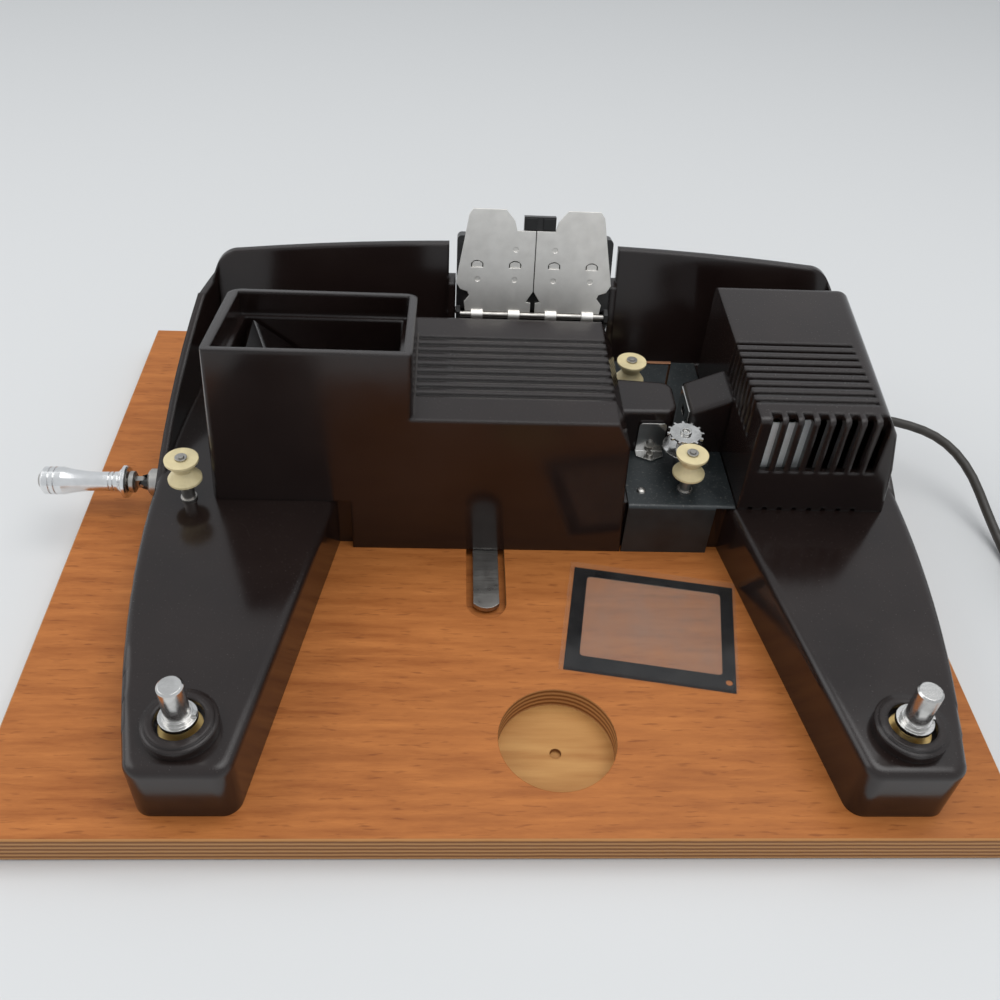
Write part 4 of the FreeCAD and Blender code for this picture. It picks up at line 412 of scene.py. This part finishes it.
# The bent sheet behind the louvres, in mm: its axis, radius, thickness, ends in degrees, heights and
# sides.
SHIELD_MIDDLE = (100.5, 14)
SHIELD_RADIUS = 21.8
SHIELD_THICK = 0.6
SHIELD_ENDS = (-106, 0)
SHIELD_HEIGHTS = (41, 75)
SHIELD_SIDES = 40
# The wood left under the small hole in the recess, in mm.
HOLE_MIDDLE = (17.8, -100)
HOLE_RADIUS = 1.94
HOLE_HEIGHTS = (0.05, 1.4)
HOLE_SIDES = 48


def prism(name, face, along, body, look):
    """A straight-sided piece: one end face and the way to the other, in mm, riding on a body."""
    mesh = bpy.data.meshes.new(name)
    bm = bmesh.new()
    first = [bm.verts.new(MM * Vector(place)) for place in face]
    last = [bm.verts.new(MM * (Vector(place) + Vector(along))) for place in face]
    bm.faces.new(first)
    bm.faces.new(last[::-1])
    for side in range(len(face)):
        bm.faces.new((first[side], first[side - 1], last[side - 1], last[side]))
    bmesh.ops.recalc_face_normals(bm, faces=bm.faces)
    bm.to_mesh(mesh)
    bm.free()
    mesh.materials.append(look)
    piece = bpy.data.objects.new(name, mesh)
    bpy.context.collection.objects.link(piece)
    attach(piece, body)
    return piece


def arc(middle, radius, start, end, count):
    """Places on a circle, from one angle to another, in degrees."""
    places = []
    for step in range(count + 1):
        angle = math.radians(start + (end - start) * step / count)
        places.append((middle[0] + radius * math.cos(angle), middle[1] + radius * math.sin(angle)))
    return places


def add_tabs(materials):
    """The tongues that fill the arched slots of the splicer's plates."""
    lean = Matrix.Rotation(math.radians(-SPLICER_LEAN), 3, "X")
    front, back = TAB_FACES
    along = lean @ Vector((0, back - front, 0))
    for body, middles in TAB_PLACES.items():
        for number, middle in enumerate(middles, 1):
            outline = [(middle - TAB_HALF, TAB_FOOT), (middle + TAB_HALF, TAB_FOOT)]
            for step in range(TAB_STEPS + 1):
                angle = math.pi * step / TAB_STEPS
                x = middle + TAB_HALF * math.cos(angle)
                outline.append((x, TAB_SHOULDER + TAB_RISE * math.sin(angle)))
            face = [Vector(SPLICER_PIVOT) + lean @ Vector((x, front, high)) for x, high in outline]
            prism(f"{body}_tab_{number}", face, along, body, materials["plate"])


def add_shield(materials):
    """The bright sheet that shows through the louvres."""
    low, high = SHIELD_HEIGHTS
    start, end = SHIELD_ENDS
    outside = arc(SHIELD_MIDDLE, SHIELD_RADIUS, start, end, SHIELD_SIDES)
    inside = arc(SHIELD_MIDDLE, SHIELD_RADIUS - SHIELD_THICK, end, start, SHIELD_SIDES)
    face = [(x, y, low) for x, y in outside + inside]
    sheet = prism("shield_sheet", face, (0, 0, high - low), "base", materials["shield"])
    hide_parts("heat_shield")


def add_hole_floor(materials):
    """The wood at the bottom of the small hole in the recess."""
    low, high = HOLE_HEIGHTS
    circle = arc(HOLE_MIDDLE, HOLE_RADIUS, 0, 360, HOLE_SIDES)
    face = [(x, y, low) for x, y in circle[:-1]]
    prism("hole_floor", face, (0, 0, high - low), "base", materials["plywood"])


# The cord's corners, from inside the moulding to the floor, and from the coil to the plug.
CORD_START = [
    (0.144, 0.057, 0.030),
    (0.174, 0.057, 0.030),
    (0.206, 0.044, 0.024),
    (0.216, 0.006, 0.0022),
    (0.216, -0.020, 0.0022),
]
CORD_TAIL = [
    (0.2734, 0.006, 0.016),
    (0.276, 0.034, 0.0095),
    (0.284, 0.052, 0.0095),
]
CORD_RADIUS = 0.002
COIL_MIDDLE = (0.244, -0.020)
COIL_RADIUS = 0.028
COIL_STEP = 0.00235
COIL_LAYER_STEPS = 5
COIL_LAYERS = 4
COIL_RISE = 0.0046
COIL_SIDESTEP = 0.0014
COIL_POINTS = 6


def coil_places():
    """Radius and height of the cord after each half turn, layer upon layer."""
    radius = COIL_RADIUS
    high = CORD_START[-1][2]
    way = -1
    places = [(radius, high)]
    for layer in range(COIL_LAYERS):
        for step in range(COIL_LAYER_STEPS):
            radius += way * COIL_STEP
            if step == COIL_LAYER_STEPS - 1:
                radius += way * COIL_SIDESTEP
            places.append((radius, high))
        way = -way
        if layer < COIL_LAYERS - 1:
            radius += way * COIL_SIDESTEP
            high += COIL_RISE
            places.append((radius, high))
    return places


def coil_points():
    """The coil's control points, COIL_POINTS to each half turn, a little outside its line."""
    points = []
    places = coil_places()
    outward = 1 / math.cos(math.pi / COIL_POINTS / 2)
    for half, ((first, low), (last, high)) in enumerate(zip(places, places[1:])):
        for step in range(COIL_POINTS):
            share = (step + 0.5) / COIL_POINTS
            angle = math.pi * (1 + half + share)
            radius = (first + (last - first) * share) * outward
            x = COIL_MIDDLE[0] + radius * math.cos(angle)
            y = COIL_MIDDLE[1] + radius * math.sin(angle)
            points.append((x, y, low + (high - low) * share))
    return points


def add_cord(materials):
    """The cord, from the moulding through its coil to the plug."""
    data = bpy.data.curves.new("cord_run", "CURVE")
    data.dimensions = "3D"
    data.resolution_u = 6
    data.bevel_depth = CORD_RADIUS
    data.bevel_resolution = 5
    data.use_fill_caps = True
    points = CORD_START[:-1] + coil_points() + CORD_TAIL
    spline = data.splines.new("NURBS")
    spline.points.add(len(points) - 1)
    for point, place in zip(spline.points, points):
        point.co = (*place, 1)
    spline.order_u = 3
    spline.use_endpoint_u = True
    data.materials.append(materials["cord_jacket"])
    run = bpy.data.objects.new("cord_run", data)
    bpy.context.collection.objects.link(run)
    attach(run, "base")
    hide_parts("cord")


add_camera()
add_studio()
materials = make_materials()
dress_nodes(materials)
add_cord(materials)
add_tabs(materials)
add_shield(materials)
add_hole_floor(materials)
